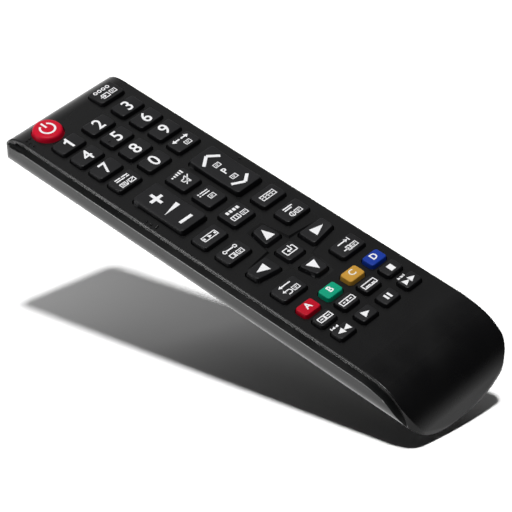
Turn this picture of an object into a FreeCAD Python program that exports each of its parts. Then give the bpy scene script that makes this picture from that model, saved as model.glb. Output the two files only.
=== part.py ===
import FreeCAD, Part
import math
import os

# Television remote control: a long handset in two moulded halves, with forty-two
# keys that stand through its face and two cells under a cover in its back.
# Millimetres. The origin is the centre of the underside, +X is to the right,
# +Y is towards the emitter end and +Z is out of the keys.

Vector = FreeCAD.Vector
ACROSS = Vector(1, 0, 0)
ALONG = Vector(0, 1, 0)
UP = Vector(0, 0, 1)

# Overall form
LENGTH = 182.3
SHELL_WIDTH = 47.3
SHELL_STEP = 0.5
COVER_TOP = 20.65
COVER_SETBACK = 0.5
NOSE_CORNER_RADIUS = 3.5
NOSE_ROUND = 9.5
NOSE_TURN_ANGLE = 80.0
CHIN_ROUND = 10.0
TAIL_CORNER_RADIUS = 6.0
TAIL_BOW_RADIUS = 185.0
TAIL_EASE_RADIUS = 39.0
TAIL_EASE_ANGLE = 15.5
TAIL_TURN_RADIUS = 17.1
TAIL_END_ANGLE = 81.4
BELLY_FLAT = 10.0
FLANK_RADIUS = 8.0
FLANK_CENTRE_HEIGHT = 12.85
CUT_MARGIN = 1.0

# Parting line and the groove along it
EDGE_ROUND = 0.4
EDGE_UPRIGHT = 0.5
PARTING_DEPTH = 2.85
PARTING_GAP = 0.12
NOSE_SEAM_DEPTH = 5.75
RIDGE_DEPTH = 4.65
RIDGE_ROUND = 0.6
COVER_UNDERCUT = 0.95
SHOULDER_WIDTH = 1.45

# Walls, lip and snaps
FACE_WALL = 1.6
SHELL_WALL = 1.6
RIM_WALL = 1.2
END_WALL = 2.0
NOSE_WALL = 3.0
LIP_WALL = 0.9
LIP_REACH = 1.6
LIP_CLEARANCE = 0.15
SNAP_LENGTH = 6.0
SNAP_HEIGHT = 0.8
SNAP_PROUD = 0.45
SNAP_PITCH = 27.0
SNAP_COUNT = 5

# Keys
KEY_PROUD = 1.35
TALL_KEY_PROUD = 2.15
ROCKER_PROUD = 1.9
KEY_DRAFT = 0.25
KEY_GAP = 0.3
KEY_EDGE = 0.35
KEY_CORNER = 0.85
KEY_TRAVEL = 0.75
KEY_FLOAT = 0.1
TRAVEL_MARGIN = 0.05
FLANGE_WIDTH = 0.45
FLANGE_THICKNESS = 0.45
PLUNGER_INSET = 0.6
NUMBER_DEPTH = 6.7
FUNCTION_DEPTH = 7.0
SOURCE_DEPTH = 7.6
SMALL_DEPTH = 5.2
POWER_RADIUS = 5.4
MIDDLE_WIDTH = 8.7
MUTE_DEPTH = 9.2
LIST_DEPTH = 8.6
MENU_WIDTH = 10.0
MENU_DEPTH = 8.3

# Columns of keys: how far the outer ones are from the cover's side, and the plain
# strip that is left between one key and the next
COLUMN_INSET = 9.65
NUMBER_SPACE = 3.0
FUNCTION_SPACE = 2.7
ROCKER_SPACE = 2.0
SMALL_SPACE = 2.9
SMALL_SPREAD = 3.6

# Rows of keys, as distances from the emitter end
TOP_ROW = 12.2
NUMBER_ROW = 22.5
ROW_PITCH = 8.8
MUTE_ROW = 62.2
ROCKER_ROW = 68.7
LIST_ROW = 74.0
MENU_ROW = 86.1
GUIDE_ROW = 87.3
TOOLS_ROW = 97.7
NAVIGATION_ROW = 109.4
RETURN_ROW = 121.4
COLOUR_ROW = 131.1
SMALL_ROW = 137.8
PLAY_ROW = 145.6

# Rocker keys
ROCKER_DEPTH = 23.0
ROCKER_OFFSET = 0.7
ROCKER_END_GAP = 0.5
ROCKER_FLANGE_DEPTH = 5.0
ROCKER_FLANGE_DROP = 0.3
ROCKER_PIVOT_RADIUS = 0.8
ROCKER_SADDLE_DEPTH = 0.45

# Navigation keys and the dished cross that they stand in
UPRIGHT_ARM_START = 6.6
SIDE_ARM_START = 7.2
ARM_INNER_HALF = 3.9
ARM_OUTER_HALF = 2.9
UPRIGHT_ARM_END = 14.4
SIDE_ARM_REACH = 4.4
ARM_TAPER = 0.6
ARM_DISH_RADIUS = 125.0
ARM_DISH_DEPTH = 0.95
ENTER_WIDTH = 7.9
ENTER_DEPTH = 7.3
ENTER_DRAFT = 0.45
CROSS_MIDDLE_HALF = 5.8
CROSS_OUTER_HALF = 3.5
CROSS_MARGIN = 1.3
CROSS_DISH_RADIUS = 170.0
CROSS_DISH_DEPTH = 0.75

# Keypad mat and circuit board
MAT_THICKNESS = 0.45
MAT_CLEARANCE = 0.35
MAT_MARGIN = 1.2
BOARD_THICKNESS = 1.2
BOARD_CLEARANCE = 0.35
BOARD_SETBACK = 14.8
BOARD_TAIL_ROOM = 15.5
POST_WIDTH = 4.0
POST_OFFSET = 3.1
FRONT_POSTS = 26.8
MIDDLE_POSTS = 81.9
REAR_POST_INSET = 8.0
PEG_WIDTH = 1.8
PEG_CLEARANCE = 0.15
RIB_THICKNESS = 0.8
RIB_CLEARANCE = 0.05

# Cells and their bay
CELL_RADIUS = 5.25
CELL_BODY = 43.6
CELL_NUB = 0.9
CELL_NUB_RADIUS = 1.9
CELL_PITCH = 11.2
CELL_CLEARANCE = 0.25
BAY_SETBACK = 88.8
BAY_WALL = 1.8
LEDGE_HEIGHT = 4.6
LEDGE_MARGIN = 1.0
PLATE_THICKNESS = 0.4
PLATE_CLEARANCE = 0.05
PLATE_SIZE = 8.0
PLATE_TAB_WIDTH = 2.0
DIMPLE_RADIUS = 1.5
DIMPLE_HEIGHT = 0.6
COIL_LENGTH = 4.5
COIL_WIRE = 0.5
COIL_TURNS = 2.5
COIL_SIDES = 6
COIL_STEPS = 48
COIL_BASE_RADIUS = 3.9
COIL_TIP_RADIUS = 2.6

# Battery cover
DOOR_WALL = 1.4
DOOR_SUNK = 0.08
DOOR_GAP = 0.2
DOOR_CORNER = 1.5
DOOR_OVERLAP = 0.9
TONGUE_WIDTH = 3.5
TONGUE_REACH = 1.5
TONGUE_THICKNESS = 0.9
TONGUE_INNER = 1.2
TONGUE_SWING_ROOM = 1.0
LATCH_WIDTH = 8.0
LATCH_WALL = 0.8
LATCH_SPAN = 3.6
LATCH_HEIGHT = 6.2
LATCH_GAP = 0.5
CATCH_CLEARANCE = 0.12
CATCH_THICKNESS = 0.7
GRIP_COUNT = 3
GRIP_DEPTH = 0.25
GRIP_PITCH = 1.6

# Emitter and its window
EMITTER_RADIUS = 2.5
EMITTER_BODY = 4.4
EMITTER_FLANGE = 0.4
EMITTER_NOSE = 1.2
EMITTER_LEAD = 0.5
WINDOW_WIDTH = 13.0
WINDOW_HEIGHT = 6.0
WINDOW_MARGIN = 0.9
WINDOW_CORNER = 1.6
WINDOW_FLANGE = 0.8
WINDOW_CLEARANCE = 0.12

# Parts on the underside of the board
CHIP_LENGTH = 12.8
CHIP_WIDTH = 7.5
CHIP_THICKNESS = 2.0
CHIP_STANDOFF = 0.2
CHIP_SETBACK = 48.8
CHIP_LEADS = 8
CHIP_LEAD_PITCH = 1.27
CHIP_LEAD_WIDTH = 0.4
CHIP_LEAD_THICKNESS = 0.35
CHIP_LEAD_REACH = 1.2
CAPACITOR_RADIUS = 2.5
CAPACITOR_LENGTH = 7.0
RESONATOR_WIDTH = 5.5
RESONATOR_DEPTH = 2.4
RESONATOR_HEIGHT = 4.0
TRANSISTOR_RADIUS = 2.3
TRANSISTOR_HEIGHT = 4.5
TALL_PART_X = 9.5
TALL_PART_INSET = 12.0
RESISTOR_LENGTH = 3.2
RESISTOR_WIDTH = 1.6
RESISTOR_HEIGHT = 0.6
RESISTOR_COUNT = 6
RESISTOR_PITCH = 3.0

# Places that follow from the sizes above
NOSE_Y = LENGTH / 2
TAIL_Y = -LENGTH / 2
COVER_NOSE_Y = NOSE_Y - COVER_SETBACK
NOSE_BEND_Y = COVER_NOSE_Y - NOSE_ROUND
NOSE_CENTRE = Vector(0, NOSE_BEND_Y, COVER_TOP - NOSE_ROUND)
SHELL_HALF = SHELL_WIDTH / 2
COVER_HALF = SHELL_HALF - SHELL_STEP
COLUMN_PITCH = COVER_HALF - COLUMN_INSET
NUMBER_WIDTH = COLUMN_PITCH - NUMBER_SPACE
FUNCTION_WIDTH = COLUMN_PITCH - FUNCTION_SPACE
ROCKER_WIDTH = COLUMN_PITCH - ROCKER_SPACE
ROCKER_X = COLUMN_PITCH - ROCKER_OFFSET
SMALL_PITCH = (2 * COLUMN_PITCH + SMALL_SPREAD) / 3
SMALL_WIDTH = SMALL_PITCH - SMALL_SPACE
SIDE_ARM_END = COLUMN_PITCH + SIDE_ARM_REACH
TOP_ROW_Y = NOSE_Y - TOP_ROW
NUMBER_ROW_Y = NOSE_Y - NUMBER_ROW
MUTE_Y = NOSE_Y - MUTE_ROW
ROCKER_Y = NOSE_Y - ROCKER_ROW
LIST_Y = NOSE_Y - LIST_ROW
MENU_Y = NOSE_Y - MENU_ROW
GUIDE_ROW_Y = NOSE_Y - GUIDE_ROW
TOOLS_ROW_Y = NOSE_Y - TOOLS_ROW
NAVIGATION_Y = NOSE_Y - NAVIGATION_ROW
RETURN_ROW_Y = NOSE_Y - RETURN_ROW
COLOUR_ROW_Y = NOSE_Y - COLOUR_ROW
SMALL_ROW_Y = NOSE_Y - SMALL_ROW
PLAY_ROW_Y = NOSE_Y - PLAY_ROW
RIM_OUTER = SHELL_HALF - SHOULDER_WIDTH
SKIRT_OUTER = COVER_HALF - COVER_UNDERCUT
CAVITY_HALF = min(RIM_OUTER, SKIRT_OUTER) - RIM_WALL
LIP_OUTER = CAVITY_HALF - LIP_CLEARANCE
LIP_INNER = LIP_OUTER - LIP_WALL
FACE_UNDER = COVER_TOP - FACE_WALL
PARTING_HEIGHT = COVER_TOP - PARTING_DEPTH
NOSE_SEAM_HEIGHT = COVER_TOP - NOSE_SEAM_DEPTH
EMITTER_HEIGHT = NOSE_SEAM_HEIGHT - WINDOW_MARGIN - WINDOW_HEIGHT / 2
KEY_TOP = COVER_TOP + KEY_PROUD
TALL_KEY_TOP = COVER_TOP + TALL_KEY_PROUD
ROCKER_TOP = COVER_TOP + ROCKER_PROUD
FLANGE_TOP = FACE_UNDER - KEY_FLOAT
FLANGE_UNDER = FLANGE_TOP - FLANGE_THICKNESS
MAT_TOP = FLANGE_UNDER - KEY_TRAVEL - 2 * TRAVEL_MARGIN
BOARD_TOP = MAT_TOP - MAT_THICKNESS
BOARD_UNDER = BOARD_TOP - BOARD_THICKNESS
PLUNGER_UNDER = BOARD_TOP + KEY_TRAVEL + TRAVEL_MARGIN
BOARD_HALF = LIP_INNER - BOARD_CLEARANCE
BOARD_FRONT = NOSE_Y - BOARD_SETBACK
BOARD_REAR = TAIL_Y + BOARD_TAIL_ROOM
POST_X = COLUMN_PITCH + POST_OFFSET
POST_ROWS = (NOSE_Y - FRONT_POSTS, NOSE_Y - MIDDLE_POSTS, BOARD_REAR + REAR_POST_INSET)
TALL_PART_Y = BOARD_FRONT - TALL_PART_INSET
CHIP_Y = NOSE_Y - CHIP_SETBACK
BAY_FRONT = NOSE_Y - BAY_SETBACK
FLANK_X = SHELL_HALF - FLANK_RADIUS
CELL_X = CELL_PITCH / 2
CELL_HEIGHT = DOOR_SUNK + DOOR_WALL + CELL_CLEARANCE + CELL_RADIUS
BAY_HALF = CELL_X + CELL_RADIUS + CELL_CLEARANCE
BAY_CEILING = CELL_HEIGHT + CELL_RADIUS + CELL_CLEARANCE
CELL_LENGTH = CELL_BODY + CELL_NUB
PLATE_DEPTH = PLATE_THICKNESS + PLATE_CLEARANCE
BAY_LENGTH = 2 * PLATE_DEPTH + DIMPLE_HEIGHT + CELL_LENGTH + COIL_LENGTH
BAY_REAR = BAY_FRONT - BAY_LENGTH
BAY_OUTER = BAY_HALF + BAY_WALL
DOOR_HALF = BAY_HALF + DOOR_OVERLAP
DOOR_REAR = BAY_REAR - BAY_WALL
DOOR_FRONT = BAY_FRONT + BAY_WALL + LATCH_GAP + 2 * LATCH_WALL
DOOR_AXIS_Y = DOOR_REAR - DOOR_GAP / 2
LATCH_FRONT = DOOR_FRONT - LATCH_WALL + LATCH_SPAN
NOTCH_FRONT = LATCH_FRONT + LATCH_GAP
TONGUE_UNDER = SHELL_WALL + DOOR_GAP


def rounded_wire(corners, place):
    # Closed outline through (a, b, radius) corners, put into space by place(a, b).
    edges = []
    ends = []
    count = len(corners)
    for index in range(count):
        a, b, radius = corners[index]
        last = corners[index - 1]
        following = corners[(index + 1) % count]
        here = Vector(a, b, 0)
        back = (Vector(last[0], last[1], 0) - here).normalize()
        ahead = (Vector(following[0], following[1], 0) - here).normalize()
        half_angle = back.getAngle(ahead) / 2
        run = radius / math.tan(half_angle) if radius > 0 else 0.0
        start = here + back * run
        finish = here + ahead * run
        middle = None
        if radius > 0:
            inward = (back + ahead).normalize()
            middle = here + inward * (radius / math.sin(half_angle) - radius)
        ends.append((start, middle, finish))
    for index in range(count):
        start, middle, finish = ends[index]
        previous_finish = ends[index - 1][2]
        if (start - previous_finish).Length > 1e-6:
            edges.append(Part.makeLine(place(previous_finish.x, previous_finish.y),
                                       place(start.x, start.y)))
        if middle is not None:
            arc = Part.Arc(place(start.x, start.y), place(middle.x, middle.y),
                           place(finish.x, finish.y))
            edges.append(arc.toShape())
    return Part.Wire(edges)


def box(x_low, x_high, y_low, y_high, z_low, z_high):
    corner = Vector(x_low, y_low, z_low)
    return Part.makeBox(x_high - x_low, y_high - y_low, z_high - z_low, corner)


def prism(corners, low, high):
    face = Part.Face(rounded_wire(corners, lambda a, b: Vector(a, b, low)))
    return face.extrude(Vector(0, 0, high - low))


def rounded_block(x, y, width, depth, radius, low, high):
    return prism(rectangle(x, y, width, depth, radius), low, high)


def clipped(corners, place):
    # Points round an outline of (a, b, cut) corners, each cut off straight at cut from its tip,
    # or left sharp where cut is 0.
    points = []
    count = len(corners)
    for index in range(count):
        a, b, cut = corners[index]
        here = Vector(a, b, 0)
        ways = (corners[index - 1], corners[(index + 1) % count]) if cut > 0 else (corners[index - 1],)
        for other in ways:
            point = here + (Vector(other[0], other[1], 0) - here).normalize() * cut
            points.append(place(point.x, point.y))
    return points


def faceted_block(levels):
    # A solid with flat faces through the same outline at several heights, as (corners, height).
    rings = [clipped(corners, lambda a, b: Vector(a, b, height)) for corners, height in levels]
    faces = [Part.Face(Part.makePolygon(ring + ring[:1])) for ring in (rings[0], rings[-1])]
    for lower, upper in zip(rings, rings[1:]):
        for index in range(len(lower)):
            quad = [lower[index - 1], lower[index], upper[index], upper[index - 1]]
            faces.append(Part.Face(Part.makePolygon(quad + quad[:1])))
    return Part.Solid(Part.Shell(faces))


def rectangle(x, y, width, depth, corner):
    left, right = x - width / 2, x + width / 2
    near, far = y - depth / 2, y + depth / 2
    return [(left, near, corner), (right, near, corner), (right, far, corner), (left, far, corner)]


def mirrored(shape):
    return shape.mirror(Vector(0, 0, 0), ACROSS)


def one_solid(shape):
    # The single solid that a chain of unions and cuts leaves.
    clean = shape.removeSplitter()
    solids = sorted(clean.Solids, key=lambda solid: solid.Volume)
    return solids[-1]


def face_line():
    # Centres of the two arcs that carry the face down over the tail, and where they start.
    ease = math.radians(TAIL_EASE_ANGLE)
    end = math.radians(TAIL_END_ANGLE)
    drop = TAIL_EASE_RADIUS * (1 - math.cos(ease)) + TAIL_TURN_RADIUS * (math.cos(ease) - math.cos(end))
    last_run = max(COVER_TOP - drop, 0.0)
    reach = (TAIL_EASE_RADIUS * math.sin(ease) + TAIL_TURN_RADIUS * (math.sin(end) - math.sin(ease))
             + last_run / math.tan(end))
    start_y = TAIL_Y + reach
    ease_centre = Vector(0, start_y, COVER_TOP - TAIL_EASE_RADIUS)
    step = TAIL_EASE_RADIUS - TAIL_TURN_RADIUS
    turn_centre = ease_centre + Vector(0, -step * math.sin(ease), step * math.cos(ease))
    return start_y, ease_centre, turn_centre, last_run / math.sin(end)


FACE_BEND_Y, EASE_CENTRE, TURN_CENTRE, END_RUN = face_line()


def swept(corners):
    # A section of (x, depth under the face, radius) corners, carried along the face
    # and down over the nose at one end and the tail at the other.
    overrun = 2 * PARTING_DEPTH + RIDGE_DEPTH
    wire = rounded_wire(corners, lambda a, b: Vector(a, NOSE_BEND_Y, COVER_TOP - b))
    face = Part.Face(wire)
    rolling = face.revolve(NOSE_CENTRE, ACROSS * -1, NOSE_TURN_ANGLE)
    level = face.extrude(Vector(0, FACE_BEND_Y - NOSE_BEND_Y, 0))
    face.translate(Vector(0, FACE_BEND_Y - NOSE_BEND_Y, 0))
    easing = face.revolve(EASE_CENTRE, ACROSS, TAIL_EASE_ANGLE)
    face.rotate(EASE_CENTRE, ACROSS, TAIL_EASE_ANGLE)
    turning = face.revolve(TURN_CENTRE, ACROSS, TAIL_END_ANGLE - TAIL_EASE_ANGLE)
    face.rotate(TURN_CENTRE, ACROSS, TAIL_END_ANGLE - TAIL_EASE_ANGLE)
    end = math.radians(TAIL_END_ANGLE)
    falling = face.extrude(Vector(0, -math.cos(end), -math.sin(end)) * (END_RUN + overrun))
    return level.fuse([rolling, easing, turning, falling]).removeSplitter()


def outline_prism(outset, end_outset=None):
    # The cover's outline seen from above, moved outwards by outset, as a tall prism.
    # Its tail is a slow bow that runs into the sides through round corners.
    if end_outset is None:
        end_outset = outset
    half = COVER_HALF + outset
    front = COVER_NOSE_Y + end_outset
    rear = TAIL_Y - end_outset
    nose = NOSE_CORNER_RADIUS + min(outset, end_outset)
    corner = TAIL_CORNER_RADIUS + min(outset, end_outset)
    bow = TAIL_BOW_RADIUS + end_outset
    bow_y = rear + bow
    corner_x = half - corner
    corner_y = bow_y - math.sqrt((bow - corner) ** 2 - corner_x ** 2)
    centre = Vector(corner_x, corner_y, 0)
    away = (centre - Vector(0, bow_y, 0)).normalize()
    meet = Vector(0, bow_y, 0) + away * bow
    turn = Vector(math.cos((math.atan2(away.y, away.x)) / 2), math.sin(math.atan2(away.y, away.x) / 2), 0)
    bulge = centre + turn * corner
    nose_mid = nose * math.sin(math.pi / 4)
    right = [
        Part.Arc(Vector(0, rear, 0), bow_point(meet.x / 2, bow, bow_y), meet).toShape(),
        Part.Arc(meet, bulge, Vector(half, corner_y, 0)).toShape(),
        Part.makeLine(Vector(half, corner_y, 0), Vector(half, front - nose, 0)),
        Part.Arc(Vector(half, front - nose, 0),
                 Vector(half - nose + nose_mid, front - nose + nose_mid, 0),
                 Vector(half - nose, front, 0)).toShape(),
        Part.makeLine(Vector(half - nose, front, 0), Vector(0, front, 0)),
    ]
    left = [mirrored(edge) for edge in right]
    wire = Part.Wire(Part.__sortEdges__(right + left))
    tall = 2 * COVER_TOP
    prism_face = Part.Face(wire)
    prism_face.translate(Vector(0, 0, -COVER_TOP / 2))
    return prism_face.extrude(Vector(0, 0, tall))


def bow_point(x, bow, bow_y):
    return Vector(x, bow_y - math.sqrt(bow ** 2 - x ** 2), 0)


def belly_radius():
    # The arc that runs smoothly from the flat of the back into the flank.
    reach = FLANK_X - BELLY_FLAT / 2
    rise = FLANK_CENTRE_HEIGHT
    return (reach ** 2 + rise ** 2 - FLANK_RADIUS ** 2) / (2 * (rise - FLANK_RADIUS))


BELLY_RADIUS = belly_radius()


def hull(inset):
    # The handset's boat-shaped cross-section, moved inwards by inset, as a bar along Y.
    radius = BELLY_RADIUS - inset
    flank = FLANK_RADIUS - inset
    belly = Vector(BELLY_FLAT / 2, 0, BELLY_RADIUS)
    pivot = Vector(FLANK_X, 0, FLANK_CENTRE_HEIGHT)
    start = belly - UP * radius
    away = (pivot - belly).normalize()
    meet = belly + away * radius
    middle = belly + (away - UP).normalize() * radius
    wall = pivot + ACROSS * flank
    side = pivot + (away + ACROSS).normalize() * flank
    top = Vector(wall.x, 0, 2 * COVER_TOP)
    right = [
        Part.makeLine(Vector(0, 0, inset), start),
        Part.Arc(start, middle, meet).toShape(),
        Part.Arc(meet, side, wall).toShape(),
        Part.makeLine(wall, top),
        Part.makeLine(top, Vector(0, 0, top.z)),
    ]
    left = [mirrored(edge) for edge in right]
    face = Part.Face(Part.Wire(Part.__sortEdges__(right + left)))
    face.translate(Vector(0, -LENGTH, 0))
    return face.extrude(Vector(0, 2 * LENGTH, 0))


def end_round(y, height, radius, upward):
    # What a quarter round takes off an end: above height when upward, else below it.
    sign = 1 if upward else -1
    reach = radius + LENGTH / 10
    low, high = sorted((height, height + sign * reach))
    block = box(-SHELL_WIDTH, SHELL_WIDTH, y - radius, y + reach, low, high)
    roll = Part.makeCylinder(radius, 4 * SHELL_WIDTH, Vector(-2 * SHELL_WIDTH, y - radius, height), ACROSS)
    return block.cut(roll)


def nose_rounds(inset):
    # What the two quarter rounds of the shell's nose take off, moved inwards by inset.
    y = NOSE_Y - inset
    return [end_round(y, COVER_TOP - NOSE_ROUND, NOSE_ROUND + COVER_SETBACK - inset, True),
            end_round(y, CHIN_ROUND, CHIN_ROUND - inset, False)]


def under_seam(height):
    # All of the nose that is lower than the seam across it.
    return box(-SHELL_WIDTH, SHELL_WIDTH, NOSE_BEND_Y, NOSE_Y + SHELL_WIDTH, -COVER_TOP, height)


# Where the keys are

def key_places():
    places = []

    def add(name, x, y, width, depth):
        places.append((name, x, y, width, depth))

    add("key_source", COLUMN_PITCH, TOP_ROW_Y, FUNCTION_WIDTH, SOURCE_DEPTH)
    for index in range(9):
        x = (index % 3 - 1) * COLUMN_PITCH
        y = NUMBER_ROW_Y - index // 3 * ROW_PITCH
        add("key_%d" % (index + 1), x, y, NUMBER_WIDTH, NUMBER_DEPTH)
    last_row = NUMBER_ROW_Y - 3 * ROW_PITCH
    for name, column in (("key_text", -1), ("key_0", 0), ("key_previous", 1)):
        add(name, column * COLUMN_PITCH, last_row, NUMBER_WIDTH, NUMBER_DEPTH)
    add("key_mute", 0, MUTE_Y, MIDDLE_WIDTH, MUTE_DEPTH)
    add("key_list", 0, LIST_Y, MIDDLE_WIDTH, LIST_DEPTH)
    add("key_menu", 0, MENU_Y, MENU_WIDTH, MENU_DEPTH)
    add("key_enter", 0, NAVIGATION_Y, ENTER_WIDTH, ENTER_DEPTH)
    pairs = (("key_media", "key_guide", GUIDE_ROW_Y), ("key_tools", "key_info", TOOLS_ROW_Y),
             ("key_return", "key_exit", RETURN_ROW_Y))
    for left, right, y in pairs:
        add(left, -COLUMN_PITCH, y, FUNCTION_WIDTH, FUNCTION_DEPTH)
        add(right, COLUMN_PITCH, y, FUNCTION_WIDTH, FUNCTION_DEPTH)
    rows = ((("key_red", "key_green", "key_yellow", "key_blue"), COLOUR_ROW_Y),
            (("key_manual", "key_picture_size", "key_subtitle", "key_stop"), SMALL_ROW_Y),
            (("key_rewind", "key_play", "key_pause", "key_forward"), PLAY_ROW_Y))
    for names, y in rows:
        for column, name in enumerate(names):
            add(name, (column - 1.5) * SMALL_PITCH, y, SMALL_WIDTH, SMALL_DEPTH)
    return places


KEYS = key_places()
ROCKERS = (("key_volume", -ROCKER_X), ("key_channel", ROCKER_X))
ARMS = (("key_up", 90, UPRIGHT_ARM_START, UPRIGHT_ARM_END),
        ("key_left", 180, SIDE_ARM_START, SIDE_ARM_END),
        ("key_down", 270, UPRIGHT_ARM_START, UPRIGHT_ARM_END),
        ("key_right", 0, SIDE_ARM_START, SIDE_ARM_END))
POWER_PLACE = Vector(-COLUMN_PITCH, TOP_ROW_Y, 0)
NAVIGATION = Vector(0, NAVIGATION_Y, 0)


def arm_corners(start, end, grow, corner):
    # A navigation key that points along +X from the middle of the cross, each side moved out by grow.
    slope = (ARM_OUTER_HALF - ARM_INNER_HALF) / (end - start)
    outset = grow * math.sqrt(1 + slope * slope)
    inner, outer = start - grow, end + grow
    inner_half = ARM_INNER_HALF - slope * grow + outset
    outer_half = ARM_OUTER_HALF + slope * grow + outset
    return [(inner, -inner_half, corner), (outer, -outer_half, corner),
            (outer, outer_half, corner), (inner, inner_half, corner)]


def turned_arm(shape, turn):
    shape.rotate(Vector(0, 0, 0), UP, turn)
    shape.translate(NAVIGATION)
    return shape


def arm_block(start, end, turn, grow, corner, low, high):
    corners = arm_corners(start, end, grow, corner)
    return turned_arm(faceted_block([(corners, low), (corners, high)]), turn)


def dish(radius, lowest):
    # A great ball whose underside is the hollow of a dish over the navigation keys.
    centre = NAVIGATION + UP * (lowest + radius)
    ball = Part.makeSphere(radius)
    ball.rotate(Vector(0, 0, 0), ALONG, -90)
    ball.rotate(Vector(0, 0, 0), ACROSS, 90)
    ball.translate(centre)
    return ball


def key_shapes(grow, low, high, corner):
    # One prism for each key, its outline moved outwards by grow.
    outlines = [rectangle(x, y, width + 2 * grow, depth + 2 * grow, corner)
                for name, x, y, width, depth in KEYS]
    end_grow = grow + ROCKER_END_GAP - KEY_GAP
    for name, x in ROCKERS:
        outlines.append(rectangle(x, ROCKER_Y, ROCKER_WIDTH + 2 * grow, ROCKER_DEPTH + 2 * end_grow,
                                  corner))
    shapes = [faceted_block([(outline, low), (outline, high)]) for outline in outlines]
    for name, turn, start, end in ARMS:
        shapes.append(arm_block(start, end, turn, grow, corner, low, high))
    shapes.append(Part.makeCylinder(POWER_RADIUS + grow, high - low, POWER_PLACE + UP * low))
    return shapes


# Front cover

def cross_recess():
    # The cross round the navigation keys: sloping sides and a dished floor.
    deep = CROSS_DISH_DEPTH + EDGE_ROUND
    pieces = []
    for name, turn, start, end in ARMS:
        wires = []
        for level in (-deep, EDGE_ROUND):
            reach = end + CROSS_MARGIN + level
            middle, outer = CROSS_MIDDLE_HALF + level, CROSS_OUTER_HALF + level
            corners = [(0, -middle, 0), (reach, -outer, 0), (reach, outer, 0), (0, middle, 0)]
            wires.append(rounded_wire(corners, lambda a, b: Vector(a, b, COVER_TOP + level)))
        pieces.append(turned_arm(Part.makeLoft(wires, True, True), turn))
    cross = pieces[0].fuse(pieces[1:]).removeSplitter()
    return cross.common(dish(CROSS_DISH_RADIUS, COVER_TOP - CROSS_DISH_DEPTH))


def clamp_ribs():
    # Ribs under the face, between the rows of keys, that hold the mat to the board.
    # The first one stops short of the round power key.
    ribs = []
    low, high = MAT_TOP + RIB_CLEARANCE, FACE_UNDER + EDGE_ROUND
    half = COLUMN_PITCH + NUMBER_WIDTH / 2
    beside_power = POWER_RADIUS + FLANGE_WIDTH + KEY_GAP - COLUMN_PITCH
    for row in range(4):
        left = beside_power if row == 0 else -half
        y = NUMBER_ROW_Y + ROW_PITCH * (0.5 - row)
        ribs.append(box(left, half, y - RIB_THICKNESS / 2, y + RIB_THICKNESS / 2, low, high))
    last = PLAY_ROW_Y - SMALL_DEPTH / 2 - FLANGE_WIDTH - KEY_GAP - RIB_THICKNESS
    ribs.append(box(-half, half, last - RIB_THICKNESS, last, low, high))
    return ribs


def snap(y, grow):
    # A wedge on the right-hand lip; the pocket for it in the shell is the same shape, grown.
    middle = PARTING_HEIGHT - LIP_REACH / 2
    half = SNAP_HEIGHT / 2 + grow
    root = LIP_OUTER - LIP_WALL / 2
    tip = LIP_OUTER + SNAP_PROUD + grow
    corners = [Vector(root, 0, middle - half - SNAP_PROUD / 2), Vector(LIP_OUTER, 0, middle - half),
               Vector(tip, 0, middle), Vector(tip, 0, middle + half), Vector(root, 0, middle + half)]
    face = Part.Face(Part.makePolygon(corners + corners[:1]))
    length = SNAP_LENGTH + 2 * grow
    face.translate(Vector(0, y - length / 2, 0))
    return face.extrude(Vector(0, length, 0))


def snap_rows():
    middle = (FACE_BEND_Y + COVER_NOSE_Y) / 2
    return [middle + (index - (SNAP_COUNT - 1) / 2) * SNAP_PITCH for index in range(SNAP_COUNT)]


def front_cover():
    bottom = PARTING_DEPTH - PARTING_GAP / 2
    skin = swept([(-COVER_HALF, 0, EDGE_ROUND), (COVER_HALF, 0, EDGE_ROUND),
                  (COVER_HALF, EDGE_UPRIGHT, 0), (SKIRT_OUTER, bottom, 0),
                  (-SKIRT_OUTER, bottom, 0), (-COVER_HALF, EDGE_UPRIGHT, 0)])
    skin = skin.common(outline_prism(0)).common(hull(0))
    skin = skin.cut(under_seam(NOSE_SEAM_HEIGHT + PARTING_GAP / 2))
    deep = PARTING_DEPTH + LIP_REACH
    hollow = swept([(-LIP_INNER, FACE_WALL, 0), (LIP_INNER, FACE_WALL, 0),
                    (LIP_INNER, deep, 0), (-LIP_INNER, deep, 0)])
    hollow = hollow.common(outline_prism(LIP_INNER - COVER_HALF, -END_WALL))
    lip = box(LIP_INNER, LIP_OUTER, FACE_BEND_Y, NOSE_BEND_Y, PARTING_HEIGHT - LIP_REACH,
              PARTING_HEIGHT + EDGE_ROUND)
    additions = [lip] + [snap(y, 0) for y in snap_rows()]
    additions = additions + [mirrored(shape) for shape in additions]
    shape = skin.cut(hollow).fuse(additions + clamp_ribs())
    shape = shape.cut(cross_recess())
    openings = key_shapes(KEY_GAP, FACE_UNDER - FACE_WALL / 2, COVER_TOP + FACE_WALL,
                          KEY_CORNER + KEY_GAP * (2 - math.sqrt(2)))
    # The face begins to roll down within the first row, so it is hollowed for those flanges.
    reach = POWER_RADIUS + FLANGE_WIDTH + KEY_GAP
    relief = box(-COLUMN_PITCH - reach, COLUMN_PITCH + reach, POWER_PLACE.y, POWER_PLACE.y + reach,
                 MAT_TOP, FACE_UNDER - KEY_FLOAT / 4)
    return one_solid(shape.cut(openings + [relief]))


# Rear shell

def door_outline(grow, low, high):
    rear, front = DOOR_REAR - grow, DOOR_FRONT + grow
    return rounded_block(0, (rear + front) / 2, 2 * (DOOR_HALF + grow), front - rear,
                         DOOR_CORNER + grow, low, high)


def tongue_box(side, grow, y_low, y_high, low, high):
    inner = side * (TONGUE_INNER - grow)
    outer = side * (TONGUE_INNER + TONGUE_WIDTH + grow)
    x_low, x_high = sorted((inner, outer))
    return box(x_low, x_high, y_low, y_high, low, high)


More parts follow.
